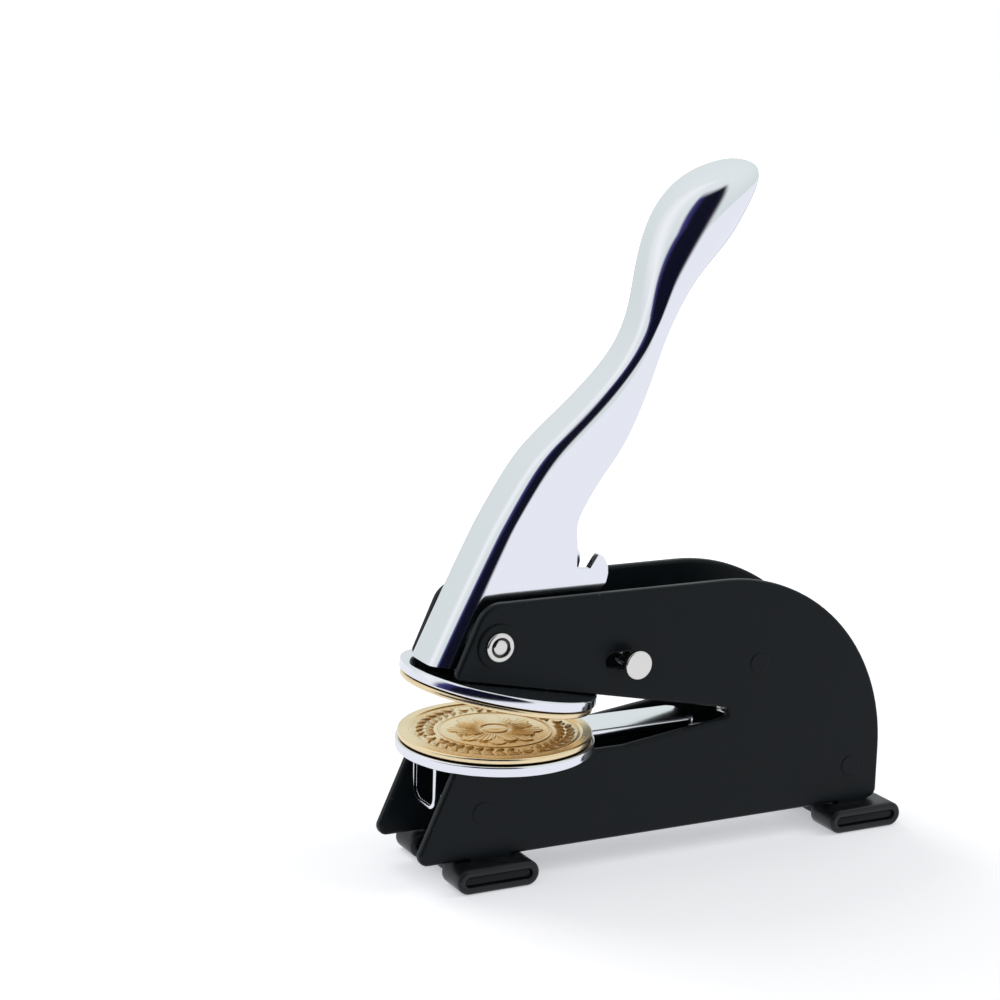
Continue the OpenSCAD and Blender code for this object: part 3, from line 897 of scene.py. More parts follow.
@dataclass
class PressFrame(SubAssembly):
    """The two side plates with their rivets, spacers, leaf block and pivot hardware."""

    body: Body = Body.FRAME
    inner: float = 11.0
    thick: float = 2.6
    bottom: float = 6.9
    top: float = 72.7
    front: float = -28.4
    rear: float = 111.5
    brow: float = -10.2
    seat: float = 31.4
    throat: float = 62.0
    throat_height: float = 36.7
    throat_radius: float = 1.6
    jaw_slope: float = math.tan(math.radians(11.5))
    lean: float = math.tan(math.radians(24.0))
    edge: float = 0.8
    feet: tuple[float, float] = FOOT_PLACES
    rivets: tuple[tuple[float, float], ...] = ((-9.8, 19.0), (71.0, 49.3), (102.2, 17.1))
    rivet_radius: float = 2.85
    rivet_proud: float = 0.2
    rivet_rim: float = 0.18
    pivot: tuple[float, float] = (-6.6, 61.9)
    washer_thick: float = 0.65
    washer_radius: float = 5.75
    pin_radius: float = 3.0
    pin_head: float = 3.75
    pin_hollow: float = 2.55
    pin_face: float = 0.6
    pin_groove: tuple[float, float] = (1.9, 2.52)
    groove_painted_shade: float = 0.93
    lock: tuple[float, float] = LOCK_PLACE
    slot_run: float = 4.4
    bush_wall: float = 2.6
    bush_bore: float = 2.25

    def jaw(self, y: float) -> float:
        """Returns the height of the upper jaw's lower edge at y."""
        start = self.throat_height + self.throat_radius / math.cos(math.atan(self.jaw_slope))
        return start + (self.throat - self.throat_radius - y) * self.jaw_slope

    def outline(self) -> Points:
        """Returns the plate's side view, with its foot tabs."""
        seat_y = self.front + (self.seat - self.bottom) * self.lean
        tip = (self.brow - (self.top - self.jaw(0)) * self.lean) / (1 + self.jaw_slope * self.lean)
        end = self.throat_radius * 0.9
        half, deep, small, root = 6.0, 4.6, 1.2, 0.3
        corners = [(self.front, self.bottom, 2.5)]
        for foot, back in zip(self.feet, (0.0, 1.8)):
            corners += [(foot - half, self.bottom, root), (foot - half, deep, small),
                        (foot + half - back, deep, small), (foot + half - back, self.bottom, root)]
        corners += [
            (self.rear, self.bottom, 2.5), (self.rear, self.top, 51.5), (self.brow, self.top, 7.0),
            (tip, self.jaw(tip), 1.5), (self.throat, self.jaw(self.throat), end),
            (self.throat, self.throat_height - end, end), (31.0, self.seat, 1.5),
            (seat_y, self.seat, 1.5),
        ]
        return resampled(rounded_polygon(corners, 3.0), 2.5)

    def build(self) -> None:
        """Builds every piece of the frame that isn't a die or a foot."""
        outer = self.inner + self.thick
        for side, node in ((1, "side_plate_near"), (-1, "side_plate_far")):
            shape = plate(f"{node}_rounded", self.outline(), side * self.inner, side * outer,
                          self.edge, steps=5)
            if side == 1:
                opening = plate("opening", self.slot_outline(self.bush_wall), self.inner - 1,
                                outer + 1, 0.02)
                cut(shape, opening, "DIFFERENCE")
            sharpen(shape)
            self.add(shape, BLACK_ENAMEL, node)
        self.add(self.rivet_set(outer), BLACK_ENAMEL, "frame_rivets")
        self.add(self.washers(outer), BLACK_ENAMEL, "pivot_washers")
        self.add(self.pivot_pin(outer), NICKEL, "pivot_pin")
        self.add(self.lock_bush(outer), PLASTIC, "lock_bush")
        self.copy_nodes({
            "front_spacers": (STEEL, 0.25), "rear_spacers": (STEEL, 0.25),
            "handle_spacers": (STEEL, 0.2), "leaf_block": (BLACK_ENAMEL, 0.6),
            "leaf_clamp": (STEEL, 0.35), "leaf_screws": (NICKEL, 0.3),
            "front_foot_bar": (BLACK_ENAMEL, 0.5), "rear_foot_bar": (BLACK_ENAMEL, 0.5),
            "lower_die_screw": (NICKEL, 0.3),
        })

    def rivet_set(self, outer: float) -> Piece:
        """Returns the three painted rivets, a hair proud of the plates."""
        proud = outer + self.rivet_proud
        profile = disc_profile(-proud, proud, self.rivet_radius, self.rivet_rim, self.rivet_rim)
        return joined("frame_rivets_painted", [
            turned(f"rivet_{i}", profile, (0, y, z), Along.X)
            for i, (y, z) in enumerate(self.rivets)])

    def washers(self, outer: float) -> Piece:
        """Returns the two black washers, each a ring with rounded rims."""
        profile = disc_profile(0, self.washer_thick, self.washer_radius, 0.05, 0.35,
                               self.pin_radius)
        return joined("pivot_washers_black", [
            turned(f"washer_{side}", [(side * (outer + h), r) for h, r in profile],
                   (0, *self.pivot), Along.X)
            for side in (1, -1)])

    def pivot_pin(self, outer: float) -> Piece:
        """Returns the pin with its two hollow heads, each a rolled ring round a flat end."""
        face = outer + self.pin_face
        crest, button = face + 0.85, face + 0.66
        half = (
            [(face, self.pin_radius), (face, self.pin_head - 0.3)]
            + fillet((crest, self.pin_head), (-1, 0), (0, -1), 0.45)
            + [(crest, self.pin_hollow + 0.35)]
            + fillet((crest, self.pin_hollow), (0, 1), (-1, 0), 0.2)
            + [(face + 0.05, 2.5), (face, 1.95), (face + 0.5, 1.85), (face + 0.62, 1.7),
               (button, 1.4), (button, 0.0)]
        )
        profile = [(-h, r) for h, r in half[::-1]] + half
        pin = turned("pivot_pin_rolled", profile, (0, *self.pivot), Along.X)
        spots = coordinates(pin) - place(np.array([0.0, *self.pivot]))
        radius = np.hypot(spots[:, 1], spots[:, 2]) / MM
        sunk = np.abs(spots[:, 0]) / MM < outer + 0.7
        start, end = self.pin_groove
        # Painted shade: the groove in each head is marked in `depth`, and the plating turns it black.
        store(pin, "depth", sunk * (radius > start) * (radius < end) * self.groove_painted_shade)
        return pin

    def slot_outline(self, radius: float) -> Points:
        """Returns the lock slot's outline, two half circles about the slot's ends."""
        y, z = self.lock
        turn = np.linspace(-math.pi / 2, math.pi / 2, 25)
        rear = np.stack([y + radius * np.cos(turn), z + radius * np.sin(turn)], axis=1)
        front = np.stack([y - self.slot_run - radius * np.cos(turn), z - radius * np.sin(turn)], axis=1)
        return np.concatenate([rear, front])

    def lock_bush(self, outer: float) -> Piece:
        """Returns the lock slot's black bush, a closed ring through the plate with round lips."""
        low, high, bore, wall = self.inner - 0.08, outer + 0.02, self.bush_bore, self.bush_wall
        loops = [(low, wall - 0.1), (low + 0.1, wall), (high - 0.1, wall), (high, wall - 0.1),
                 (high, bore + 0.12), (high - 0.1, bore + 0.04), (high - 0.3, bore),
                 (low + 0.2, bore), (low, bore + 0.1)]
        return closed_ring("lock_bush_slotted", np.stack(
            [np.insert(self.slot_outline(r), 0, x, axis=1) for x, r in loops]))


@dataclass
class Foot(SubAssembly):
    """The two rubber sleeves over the ends of one foot's steel bar."""

    body: Body = Body.FRAME
    name: str = "front_foot"
    middle: float = FOOT_PLACES[0]
    start: float = 8.7
    end: float = 19.2
    width: float = 22.8
    height: float = 6.6
    slot_width: float = 18.7
    slot_height: float = 2.6
    lip: float = 0.9

    def stadium(self, width: float, height: float, radius: float, steps: int = 12) -> Points:
        """Returns a rounded rectangle about the foot's middle, y and z, from its four arcs."""
        w, h = width / 2 - radius, height / 2 - radius
        turn = np.linspace(0, math.pi / 2, steps)
        arcs = [
            np.stack([cy + radius * np.cos(turn + k * math.pi / 2),
                      cz + radius * np.sin(turn + k * math.pi / 2)], axis=1)
            for k, (cy, cz) in enumerate(((w, h), (-w, h), (-w, -h), (w, -h)))
        ]
        return np.concatenate(arcs) + np.array([self.middle, self.height / 2])

    def skin(self, width: float, height: float, radius: float,
             rings: Sequence[tuple[float, float]]) -> list[Points]:
        """Returns loops of points at each ring's x, each shrunk on all sides by its second value."""
        return [
            np.insert(self.stadium(width - 2 * by, height - 2 * by, radius - by), 0, x, axis=1)
            for x, by in rings
        ]

    def sleeve(self, side: int) -> Piece:
        """Returns one closed ring: an outer and an inner skin joined by round lips."""
        lip, start, end = self.lip, self.start, self.end
        turn = np.linspace(0, math.pi / 2, 6)
        lips = [(lip * (1 - math.sin(t)), lip * (1 - math.cos(t))) for t in turn]
        outside = [(start + x, by) for x, by in lips[::-1]]
        outside += [(x, 0.0) for x in np.linspace(start + lip, end - lip, 6)[1:-1]]
        outside += [(end - x, by) for x, by in lips]
        inside = [(end - 0.25, -0.12), (end - 1.2, 0.0), (start + 1.2, 0.0), (start + 0.25, -0.12)]
        loops = self.skin(self.width, self.height, self.height / 2 - 0.02, outside)
        loops += self.skin(self.slot_width, self.slot_height, self.slot_height / 2 - 0.05, inside)
        return closed_ring(f"sleeve_{side}", np.stack(loops) * np.array([side, 1.0, 1.0]))

    def build(self) -> None:
        """Builds the foot's two sleeves."""
        pair = joined(f"{self.name}_sleeve_moulded", [self.sleeve(1), self.sleeve(-1)])
        self.add(pair, RUBBER, f"{self.name}_sleeve")


class Relief(Enum):
    """Whether a die's ornament stands up or is sunk in."""

    RAISED = 1
    SUNK = -1


@dataclass
class Die:
    """A round brass die whose face is a height over polar coordinates.

    The ornament is generic: a bead rim, a wreath of paired leaves and a rosette. Each of
    leaf_rows holds a row's shift outwards and its leaves' lean in radians. Each of petals holds
    a layer's turn, its reach and its height.
    """

    radius: float = 25.0
    thick: float = 2.0
    relief: Relief = Relief.RAISED
    rings: int = 150
    spokes: int = 600
    rim: float = 22.4
    field_depth: float = 0.5
    ornament: float = 0.42
    rim_shadow: float = 2.0
    edge: float = 0.6
    bead_ring: float = 21.2
    inner_ring: float = 14.4
    leaf_count: int = 40
    leaf_row: float = 18.1
    leaf_rows: tuple[tuple[float, float], ...] = ((1.25, 0.75), (-1.25, -0.75))
    leaf_size: tuple[float, float] = (1.75, 0.72)
    stud: float = 1.5
    stud_gap: tuple[float, float] = (2.0, 2.3)
    petals: tuple[tuple[float, float, float], ...] = ((0.5, 12.6, 0.62), (0.0, 10.8, 1.0))
    petal_root: float = 3.4
    boss: float = 3.2

    def leaf(self, along: Points, across: Points, length: float, width: float) -> Points:
        """Returns a pointed leaf's height, 1 at its middle, with a groove along its midrib."""
        taper = np.clip(1 - (along / length) ** 2, 0, 1)
        body = smooth_step(0.0, 0.35, taper - np.abs(across) / width)
        groove = 0.45 * np.exp(-((across / 0.16) ** 2)) * (np.abs(along) < length * 0.85)
        return body - groove * body

    def wreath(self, r: Points, turn: Points) -> Points:
        """Returns two rows of leaves that lean apart, broken by four studs."""
        count, row = self.leaf_count, self.leaf_row
        cell = turn * count / (2 * math.pi)
        offset = (cell - np.floor(cell) - 0.5) * (2 * math.pi / count) * row
        high = np.zeros_like(r)
        for shift, lean in self.leaf_rows:
            a = offset * math.cos(lean) + (r - row - shift) * math.sin(lean)
            b = -offset * math.sin(lean) + (r - row - shift) * math.cos(lean)
            high = np.maximum(high, self.leaf(a, b, *self.leaf_size))
        quarter = (turn / (math.pi / 2) + 0.5) % 1 - 0.5
        studded = np.abs(quarter) * math.pi / 2 * row
        gap = smooth_step(*self.stud_gap, studded)
        stud = smooth_step(0.0, 0.5, self.stud - np.hypot(studded, r - row))
        return np.maximum(high * gap, stud)

    def rosette(self, r: Points, turn: Points) -> Points:
        """Returns two layers of eight ribbed petals round a boss."""
        high = np.zeros_like(r)
        for phase, reach, lift in self.petals:
            wave = np.abs(np.cos(4 * turn + phase * math.pi))
            edge = self.petal_root + (reach - self.petal_root) * wave**0.55
            body = smooth_step(0.0, 0.5, edge - r) * lift
            rib = 0.3 * (0.5 + 0.5 * np.cos(48 * turn + 6 * phase * math.pi))
            body = body * (1 - rib * smooth_step(3.5, 6.0, r))
            high = np.maximum(high, body)
        boss = np.sqrt(np.clip(1 - (r / self.boss) ** 2, 0, 1)) * 1.15
        well = 1 - 0.75 * np.exp(-(((r - 3.6) / 0.35) ** 2))
        return np.maximum(high * well, boss)

    def height(self, r: Points, turn: Points) -> tuple[Points, Points]:
        """Works out the face.

        Args:
            r: Distance from the die's centre.
            turn: Angle round it.

        Returns:
            The face's height above the die's back, and from 0 to 1 how much of a recess it is.
        """
        rim = smooth_step(self.rim - 0.45, self.rim, r)
        beads = 0.55 * np.exp(-(((r - self.bead_ring) / 0.3) ** 2))
        inner = 0.5 * np.exp(-(((r - self.inner_ring) / 0.28) ** 2))
        figure = np.maximum(np.maximum(self.wreath(r, turn), self.rosette(r, turn)),
                            np.maximum(beads, inner))
        figure = np.clip(figure, 0, 1.2) * (r < self.rim - 0.6)
        sunk = self.field_depth * (1 - rim)
        high = self.thick - sunk + self.relief.value * self.ornament * figure
        edge = self.edge
        over = np.clip(r - self.radius + edge, 0, edge)
        high = high - edge + np.sqrt(np.clip(edge**2 - over**2, 0, None))
        flank = np.gradient(figure, axis=0) ** 2 + np.gradient(figure, axis=1) ** 2
        flank = np.clip(flank * 7, 0, 1)
        low = (figure < 0.25) * (1 - rim) * smooth_step(0.02, 0.25, figure)
        return high, np.clip(np.maximum(flank, low), 0, 1) * (1 - rim)

    def build(self, name: str) -> Piece:
        """Builds the die with its back at height 0 and its axis through the die's centre.

        Args:
            name: The piece's name.

        Returns:
            The piece, with the attribute `depth` for its finish, above 1 where a shadow is painted
            under the rim.
        """
        rounded = 1 - np.sin(np.linspace(0.15, math.pi / 2, 6))
        r = np.append(np.linspace(0.25, self.radius - self.edge - 0.02, self.rings),
                      self.radius - self.edge * rounded)
        turn = np.linspace(0, 2 * math.pi, self.spokes, endpoint=False)
        rr, tt = np.meshgrid(r, turn, indexing="ij")
        high, depth = self.height(rr, tt)
        face = np.stack([rr * np.cos(tt), rr * np.sin(tt), high], axis=-1)
        # Rings down the side and under the rim. The third value is each ring's `depth`: 0.4 darkens the
        # lip, and the larger value paints a shadow under the rim.
        loops = ((self.radius, self.thick - 0.9, 0.0), (self.radius, 0.65, 0.0),
                 (self.radius - 0.15, 0.5, 0.4), (self.radius - 1.0, 0.45, self.rim_shadow),
                 (self.radius - 1.0, 0.0, self.rim_shadow), (1.0, 0.0, self.rim_shadow))
        sides = [np.stack([radius * np.cos(turn), radius * np.sin(turn),
                           np.full_like(turn, level)], axis=-1) for radius, level, _ in loops]
        grid = np.concatenate([face, np.stack(sides)])
        obj = new_object(name, grid, tube_faces(len(grid), self.spokes))
        shadow = np.repeat([dark for _, _, dark in loops], self.spokes)
        store(obj, "depth", np.append(depth.ravel(), shadow))
        turn_outwards(obj, merge=0)
        sharpen(obj, degrees=60)
        return obj


def lifted(obj: Piece, height: float) -> Piece:
    """Raises a piece's mesh by a height in millimetres."""
    obj.data.transform(Matrix.Translation((0, 0, height * MM)))
    return obj


@dataclass
class LowerDie(SubAssembly):
    """The lower die, and the chrome arm that carries it back between the plates."""

    body: Body = Body.FRAME
    holder_low: float = 31.4
    holder_high: float = 34.1
    holder_radius: float = HOLDER_RADIUS
    arm_half: float = 6.5
    arm_end: float = 57.0
    flange: float = 2.0
    flange_front: float = -19.0
    flange_rear: float = 107.7
    flange_low: float = 13.0
    tab: tuple[float, float] = (-20.0, -18.0)
    tab_low: float = 18.0
    tab_floor: float = -19.2
    edge: float = 0.45

    def build(self) -> None:
        """Builds the arm from its disc, strip, flanges and front tab, and then the die."""
        low, high, half = self.holder_low, self.holder_high, self.arm_half
        disc = turned("holder", disc_profile(low, high, self.holder_radius, 0.5, self.edge),
                      (0, 0, 0), Along.Z, 256)
        strip_shape = rounded_polygon(
            [(-half, 5.0, 1.0), (half, 5.0, 1.0), (half, self.arm_end, 3.2),
             (-half, self.arm_end, 3.2)])
        strip = plate("strip", resampled(strip_shape, 2.0), low, high - 0.02, self.edge, Along.Z)
        front, rear, foot = self.flange_front, self.flange_rear, self.flange_low
        side = rounded_polygon([
            (front, low + 1, 1.0), (self.arm_end, low + 1, 1.0), (self.arm_end + 3, low - 3, 1.0),
            (rear, low - 3, 2.0), (rear, foot, 2.0), (front + 7, foot, 1.5), (front, 23.5, 1.0)])
        flanges = [
            plate(f"flange_{s}", resampled(side, 3.0), s * (half - self.flange), s * half, 0.3)
            for s in (1, -1)
        ]
        tab_shape = rounded_polygon([(-half, self.tab_low, 4.0), (half, self.tab_low, 4.0),
                                     (half, low + 1, 1.0), (-half, low + 1, 1.0)])
        tab = plate("tab", resampled(tab_shape, 2.0), *self.tab, 0.4, Along.Y)
        hollow, painted_sheet_shape = (
            rounded_polygon([(-half + by, self.tab_low + by, 3.0),
                             (half - by, self.tab_low + by, 3.0),
                             (half - by, top, 0.5), (-half + by, top, 0.5)])
            for by, top in ((0.85, low + 3), (0.75, low))
        )
        floor = self.tab_floor
        cut(tab, plate("pocket", hollow, floor, self.tab[0] - 1, 0.1, Along.Y), "DIFFERENCE")
        for part in (strip, tab, *flanges):
            sharpen(part)
        # A dark sheet in the tab's pocket: a painted dark reflection that stands in for what the plated
        # face mirrors.
        face = plate("arm_tab_painted_reflection_sheet", resampled(painted_sheet_shape, 2.0), floor - 0.02, floor + 0.6, 0.1,
                     Along.Y)
        sharpen(face)
        self.add(face, TAB_PAINTED_REFLECTION)
        arm = joined("lower_die_arm_plated", [disc, strip, tab, *flanges])
        self.add(arm, CHROME, "lower_die_arm")
        die = lifted(Die().build("lower_die_relief"), self.holder_high)
        self.add(die, BRASS, "lower_die")


@dataclass
class UpperDie(SubAssembly):
    """The upper die and its holder, which hang from the spring leaf."""

    body: Body = Body.UPPER_JAW
    open_angle: float = 11.4
    flex: tuple[float, float] = (47.0, 41.6)
    closed: float = 38.3
    holder_thick: float = 2.7
    holder_radius: float = HOLDER_RADIUS
    die_thick: float = 1.9
    leaf_thick: float = 1.2
    leaf_half: float = 6.5
    leaf_front: float = -11.0
    leaf_rear: float = 84.0
    leaf_held: float = 66.0
    bend_low: float = 38.0
    bend_high: float = 45.6
    slice: float = 1.5

    def opened(self, obj: Piece) -> Piece:
        """Turns a piece drawn closed about the leaf's flex line into the rest pose."""
        centre = Vector(place(np.array([0.0, *self.flex])))
        turn = Matrix.Rotation(math.radians(-self.open_angle), 4, "X")
        obj.data.transform(Matrix.Translation(centre) @ turn @ Matrix.Translation(-centre))
        return obj

    def build(self) -> None:
        """Builds the holder, the die, its rivets and the spring leaf."""
        low, high = self.closed, self.closed + self.holder_thick
        holder = turned("upper_die_holder_plated",
                        disc_profile(low, high, self.holder_radius, 0.45, 0.5), (0, 0, 0),
                        Along.Z, 256)
        self.add(self.opened(holder), CHROME, "upper_die_holder")
        die = Die(thick=self.die_thick, relief=Relief.SUNK, rings=120, spokes=480,
                  field_depth=0.3, ornament=0.35).build("upper_die_relief")
        die.data.transform(Matrix.Translation((0, 2 * die_centre(), 0))
                           @ Matrix.Rotation(math.pi, 4, "X"))
        self.add(self.opened(lifted(die, low)), BRASS, "upper_die")
        self.copy_nodes({"die_rivets": (NICKEL, 0.3)})
        shape = rounded_polygon([(-self.leaf_half, self.leaf_front, 3.0),
                                 (self.leaf_half, self.leaf_front, 3.0),
                                 (self.leaf_half, self.leaf_rear, 0.8),
                                 (-self.leaf_half, self.leaf_rear, 0.8)])
        leaf = self.bendable(resampled(shape, 2.0), high, high + self.leaf_thick)
        self.opened(leaf)
        dress(leaf, SPRING_STEEL)
        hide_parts("die_leaf")
        start = place(np.array([0.0, self.leaf_held, self.bend_low]))
        free = self.leaf_held - 2 * (self.leaf_held - self.flex[0])
        end = place(np.array([0.0, free, self.bend_high]))
        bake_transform(leaf)
        self.pieces.append(leaf)
        log.info("%s bends between two bodies", leaf.name)

    def bendable(self, shape: Points, low: float, high: float) -> Piece:
        """Makes the leaf and cuts it across at short steps, so that it can bend."""
        leaf = plate("die_leaf_sprung", shape, low, high, 0.25, Along.Z, steps=2)
        work = bmesh.new()
        work.from_mesh(leaf.data)
        for y in np.arange(self.leaf_front + 4, self.leaf_rear - 1, self.slice):
            spot = place(np.array([0.0, y, 0.0]))
            bmesh.ops.bisect_plane(work, geom=work.verts[:] + work.edges[:] + work.faces[:],
                                   plane_co=tuple(spot), plane_no=(0, 1, 0))
        work.to_mesh(leaf.data)
        work.free()
        sharpen(leaf)
        return leaf


@dataclass
class Handle(SubAssembly):
    """The cast lever: an inverted channel that closes into a rounded grip.

    Stations run up the lever. Each holds the front edge (y, z), the rear edge (y, z), half the
    width, the front corner's radius, the rear corner's radius, and how oval the section is.
    """

    body: Body = Body.LEVER
    wall: float = 2.3
    strip: float = 2.6
    crown: float = 0.35
    cavity_end: float = 9.2
    cavity_back: float = 6.0
    cavity_drop: tuple[float, float] = (7.0, 16.0)
    overhang: float = 30.0
    slot_left: float = 17.7
    slot_floor: float = 78.35
    shoulder: float = 86.2
    cam_centre: tuple[float, float] = (3.79, 64.84)
    boss_radius: float = 12.4
    trim_half: float = 20.0
    per_span: int = 14
    stations: tuple[tuple[float, ...], ...] = (
        (-22.1, 55.4, 15.7, 52.0, 8.5, 4.5, 0.5, 0.0),
        (-13.8, 72.3, 17.6, 70.0, 8.5, 4.5, 0.5, 0.0),
        (-6.6, 86.4, 17.7, 86.0, 8.5, 4.5, 0.5, 0.0),
        (-2.6, 93.4, 18.7, 92.6, 8.5, 4.5, 0.5, 0.0),
        (4.4, 104.1, 23.8, 100.6, 8.5, 4.5, 0.5, 0.0),
        (11.6, 111.8, 29.0, 107.3, 8.4, 4.4, 0.5, 0.0),
        (19.9, 119.0, 33.9, 115.5, 8.1, 4.2, 0.6, 0.0),
        (28.0, 126.8, 38.7, 126.0, 7.6, 4.0, 0.8, 0.0),
        (34.1, 135.0, 42.6, 135.0, 7.4, 3.9, 1.4, 0.1),
        (37.2, 143.6, 47.0, 143.0, 8.0, 4.2, 2.4, 0.35),
        (38.6, 152.0, 52.0, 150.0, 9.2, 4.5, 3.6, 0.65),
        (40.2, 160.0, 57.3, 155.6, 10.5, 4.8, 4.4, 0.85),
        (43.3, 167.6, 62.0, 160.7, 11.4, 5.0, 5.0, 0.95),
        (48.6, 173.9, 65.8, 166.6, 11.5, 5.0, 5.0, 1.0),
        (55.2, 177.9, 68.4, 171.7, 10.4, 4.4, 4.4, 1.0),
        (61.4, 179.9, 69.7, 175.3, 8.0, 3.2, 3.2, 1.0),
        (65.6, 180.3, 69.9, 177.6, 5.0, 1.8, 1.8, 1.0),
        (68.2, 179.7, 69.4, 178.9, 1.6, 0.5, 0.5, 1.0),
    )

    def sections(self, rows: Points, crown: float) -> Points:
        """Carries a rounded section up the stations.

        Args:
            rows: The splined stations.
            crown: How far the front face swells at its middle.

        Returns:
            A grid of stations by points. The right half of a section runs along the front, round
            its corner, back along the side and round the rear corner: a rounded rectangle that
            is mixed with the ellipse of the same width and depth.
        """
        front, rear = rows[:, 0:2], rows[:, 2:4]
        w, rf, rr, oval = (rows[:, k : k + 1] for k in range(4, 8))
        depth = np.linalg.norm(rear - front, axis=1, keepdims=True)
        rf, rr = np.minimum(rf, depth * 0.45), np.minimum(rr, depth * 0.45)
        f = np.linspace(0, 1, 9)[None, :-1]
        q = np.linspace(0, math.pi / 2, 13)[None, :-1]
        across = [f * (w - rf), w - rf + rf * np.sin(q), w + 0 * f,
                  w - rr + rr * np.cos(q), (1 - np.linspace(0, 1, 9)[None, :]) * (w - rr)]
        back = [0 * f * w, rf - rf * np.cos(q), rf + f * (depth - rf - rr),
                depth - rr + rr * np.sin(q), depth + 0 * np.linspace(0, 1, 9)[None, :]]
        a, b = np.concatenate(across, axis=1), np.concatenate(back, axis=1)
        turn = np.arctan2((b - depth / 2) / (depth / 2), a / w)
        a = (1 - oval) * a + oval * w * np.cos(turn)
        b = (1 - oval) * b + oval * (depth / 2) * (1 + np.sin(turn))
        b = b + crown * (a / w) ** 2 * (1 - oval) * (1 - b / depth)
        a, b = np.hstack([a, -a[:, -2:0:-1]]), np.hstack([b, b[:, -2:0:-1]])
        way = (rear - front) / depth
        y = front[:, 0:1] + way[:, 0:1] * b
        z = front[:, 1:2] + way[:, 1:2] * b
        return np.stack([a, y, z], axis=-1)

    def swept(self, name: str, rows: Points, crown: float) -> Piece:
        """Returns the closed solid of a run of sections."""
        grid = self.sections(rows, crown)
        obj = new_object(name, grid, tube_faces(*grid.shape[:2]))
        turn_outwards(obj)
        return obj

    def rows(self) -> Points:
        """Returns the splined stations, with room behind the lower ones for the hook."""
        rows = natural_spline(np.array(self.stations), self.per_span)
        below = rows[:, 3] < self.shoulder - 0.3
        rows[below, 2] = self.overhang
        return rows

    def trim_outline(self) -> Points:
        """Returns the side view that cuts the walls: belly, hook, lock notch and shoulder."""
        cy, cz = self.cam_centre
        turn = np.radians(np.linspace(-118, -12, 24))
        belly = np.stack([cy + self.boss_radius * np.cos(turn),
                          cz + self.boss_radius * np.sin(turn)], axis=1)
        hook = rounded_polygon([
            (20.0, 60.0, 0.3), (24.6, 72.4, 1.2), (26.3, 74.2, 1.8), (26.8, 76.4, 2.4),
            (26.7, 78.5, 2.2), (25.5, 80.9, 1.0), (24.0, 81.7, 0.3), (21.5, 78.0, 0.35),
            (self.slot_left, self.slot_floor, 0.5), (self.slot_left, 100.0, 0.01),
            (0.0, 100.0, 0.01), (0.0, 60.0, 0.01)])
        hook = hook[(hook[:, 0] > self.slot_left - 0.01) & (hook[:, 1] > 72) & (hook[:, 1] < 90)]
        rest = np.array([(self.slot_left, self.shoulder), (90.0, self.shoulder), (90.0, 210.0),
                         (-60.0, 210.0), (-60.0, 57.0), (-19.8, 56.3)])
        return np.concatenate([belly, hook, rest])

    def build(self) -> None:
        """Sweeps the lever, cuts its side view, hollows it and dresses it."""
        rows = self.rows()
        lever = self.swept("lever_handle_cast", rows, self.crown)
        shape = self.trim_outline()
        prism = np.stack([np.insert(shape, 0, x, axis=1) for x in (-self.trim_half, self.trim_half)])
        tool = new_object("trim", prism, tube_faces(2, len(shape)))
        turn_outwards(tool)
        cut(lever, tool, "INTERSECT")
        cut(lever, self.swept("cavity", self.hollow(rows), 0.0), "DIFFERENCE")
        turn_outwards(lever, WELD)
        sharpen(lever, degrees=38)
        self.add(lever, CHROME, "handle")
        self.copy_nodes({"press_cam": (STEEL, 0.5), "cam_pin": (NICKEL, 0.3),
                         "pivot_bush": (BRONZE, 0.2)})

    def hollow(self, rows: Points) -> Points:
        """Returns the cavity's stations: inside the walls, behind the strip, open at the rear."""
        inner = rows[: int(self.cavity_end * self.per_span)].copy()
        way = inner[:, 2:4] - inner[:, 0:2]
        way = way / np.linalg.norm(way, axis=1, keepdims=True)
        inner[:, 0:2] += way * self.strip
        inner[:, 2:4] += way * self.cavity_back
        inner[:, 4] -= self.wall
        inner[:, 5:8] = (1.2, 0.3, 0.0)
        inner[0, 0:4] -= np.array(self.cavity_drop * 2)
        close = np.clip((len(inner) - np.arange(len(inner))) / (1.2 * self.per_span), 0, 1)
        shrink = np.sqrt(1 - (1 - close) ** 2) * 0.98 + 0.02
        inner[:, 4] *= shrink
        return inner


@dataclass
class LockPin(SubAssembly):
    """The sliding pin that holds the lever down, with its round head."""

    body: Body = Body.LOCK
    place_yz: tuple[float, float] = LOCK_PLACE
    shaft: float = 1.8
    tip: float = 9.4
    head_start: float = 17.75
    head_thick: float = 1.5
    head: float = 3.75

    def build(self) -> None:
        """Builds the pin: chamfered tip, shaft, and a head with rounded rims."""
        end = self.head_start + self.head_thick
        profile = (
            [(self.tip, 0), (self.tip, self.shaft - 0.6), (self.tip + 0.5, self.shaft),
             (self.head_start - 0.3, self.shaft)]
            + fillet((self.head_start, self.shaft), (-1, 0), (0, 1), 0.25)
            + fillet((self.head_start, self.head), (0, -1), (1, 0), 0.25)
            + fillet((end, self.head), (-1, 0), (0, -1), 0.35)
            + [(end, self.head - 0.8), (end, 0)]
        )
        pin = turned("lock_pin_turned", profile, (0, *self.place_yz), Along.X, 128)
        self.add(pin, NICKEL, "lock_pin")


# ---------------------------------------------------------------------------------------------
# Studio


WHITE = (1.0, 1.0, 1.0, 1.0)
BLACK = (0.0, 0.0, 0.0, 1.0)
AMBIENT = (0.5, 0.5, 0.505, 1.0)
SKY_LOW = colour(220, 228, 227)
SKY_HIGH = colour(236, 242, 243)
WINDOW_WHITE = (0.97, 0.98, 1.0, 1.0)
ROOM_COLOUR = colour(14, 15, 34)
ROOM_EDGE = colour(62, 58, 118)
ROOM_WALL = colour(84, 76, 82)
OUTLINE_GREY = colour(150, 156, 166)
MIRRORED_FLOOR = (0.905, 0.92, 0.98, 1.0)
FLOOR_NEAR = (0.42, 0.425, 0.445, 1.0)
FLOOR_GREY = (0.8, 0.8, 0.8, 1.0)
LEAN_TOP = 0.4


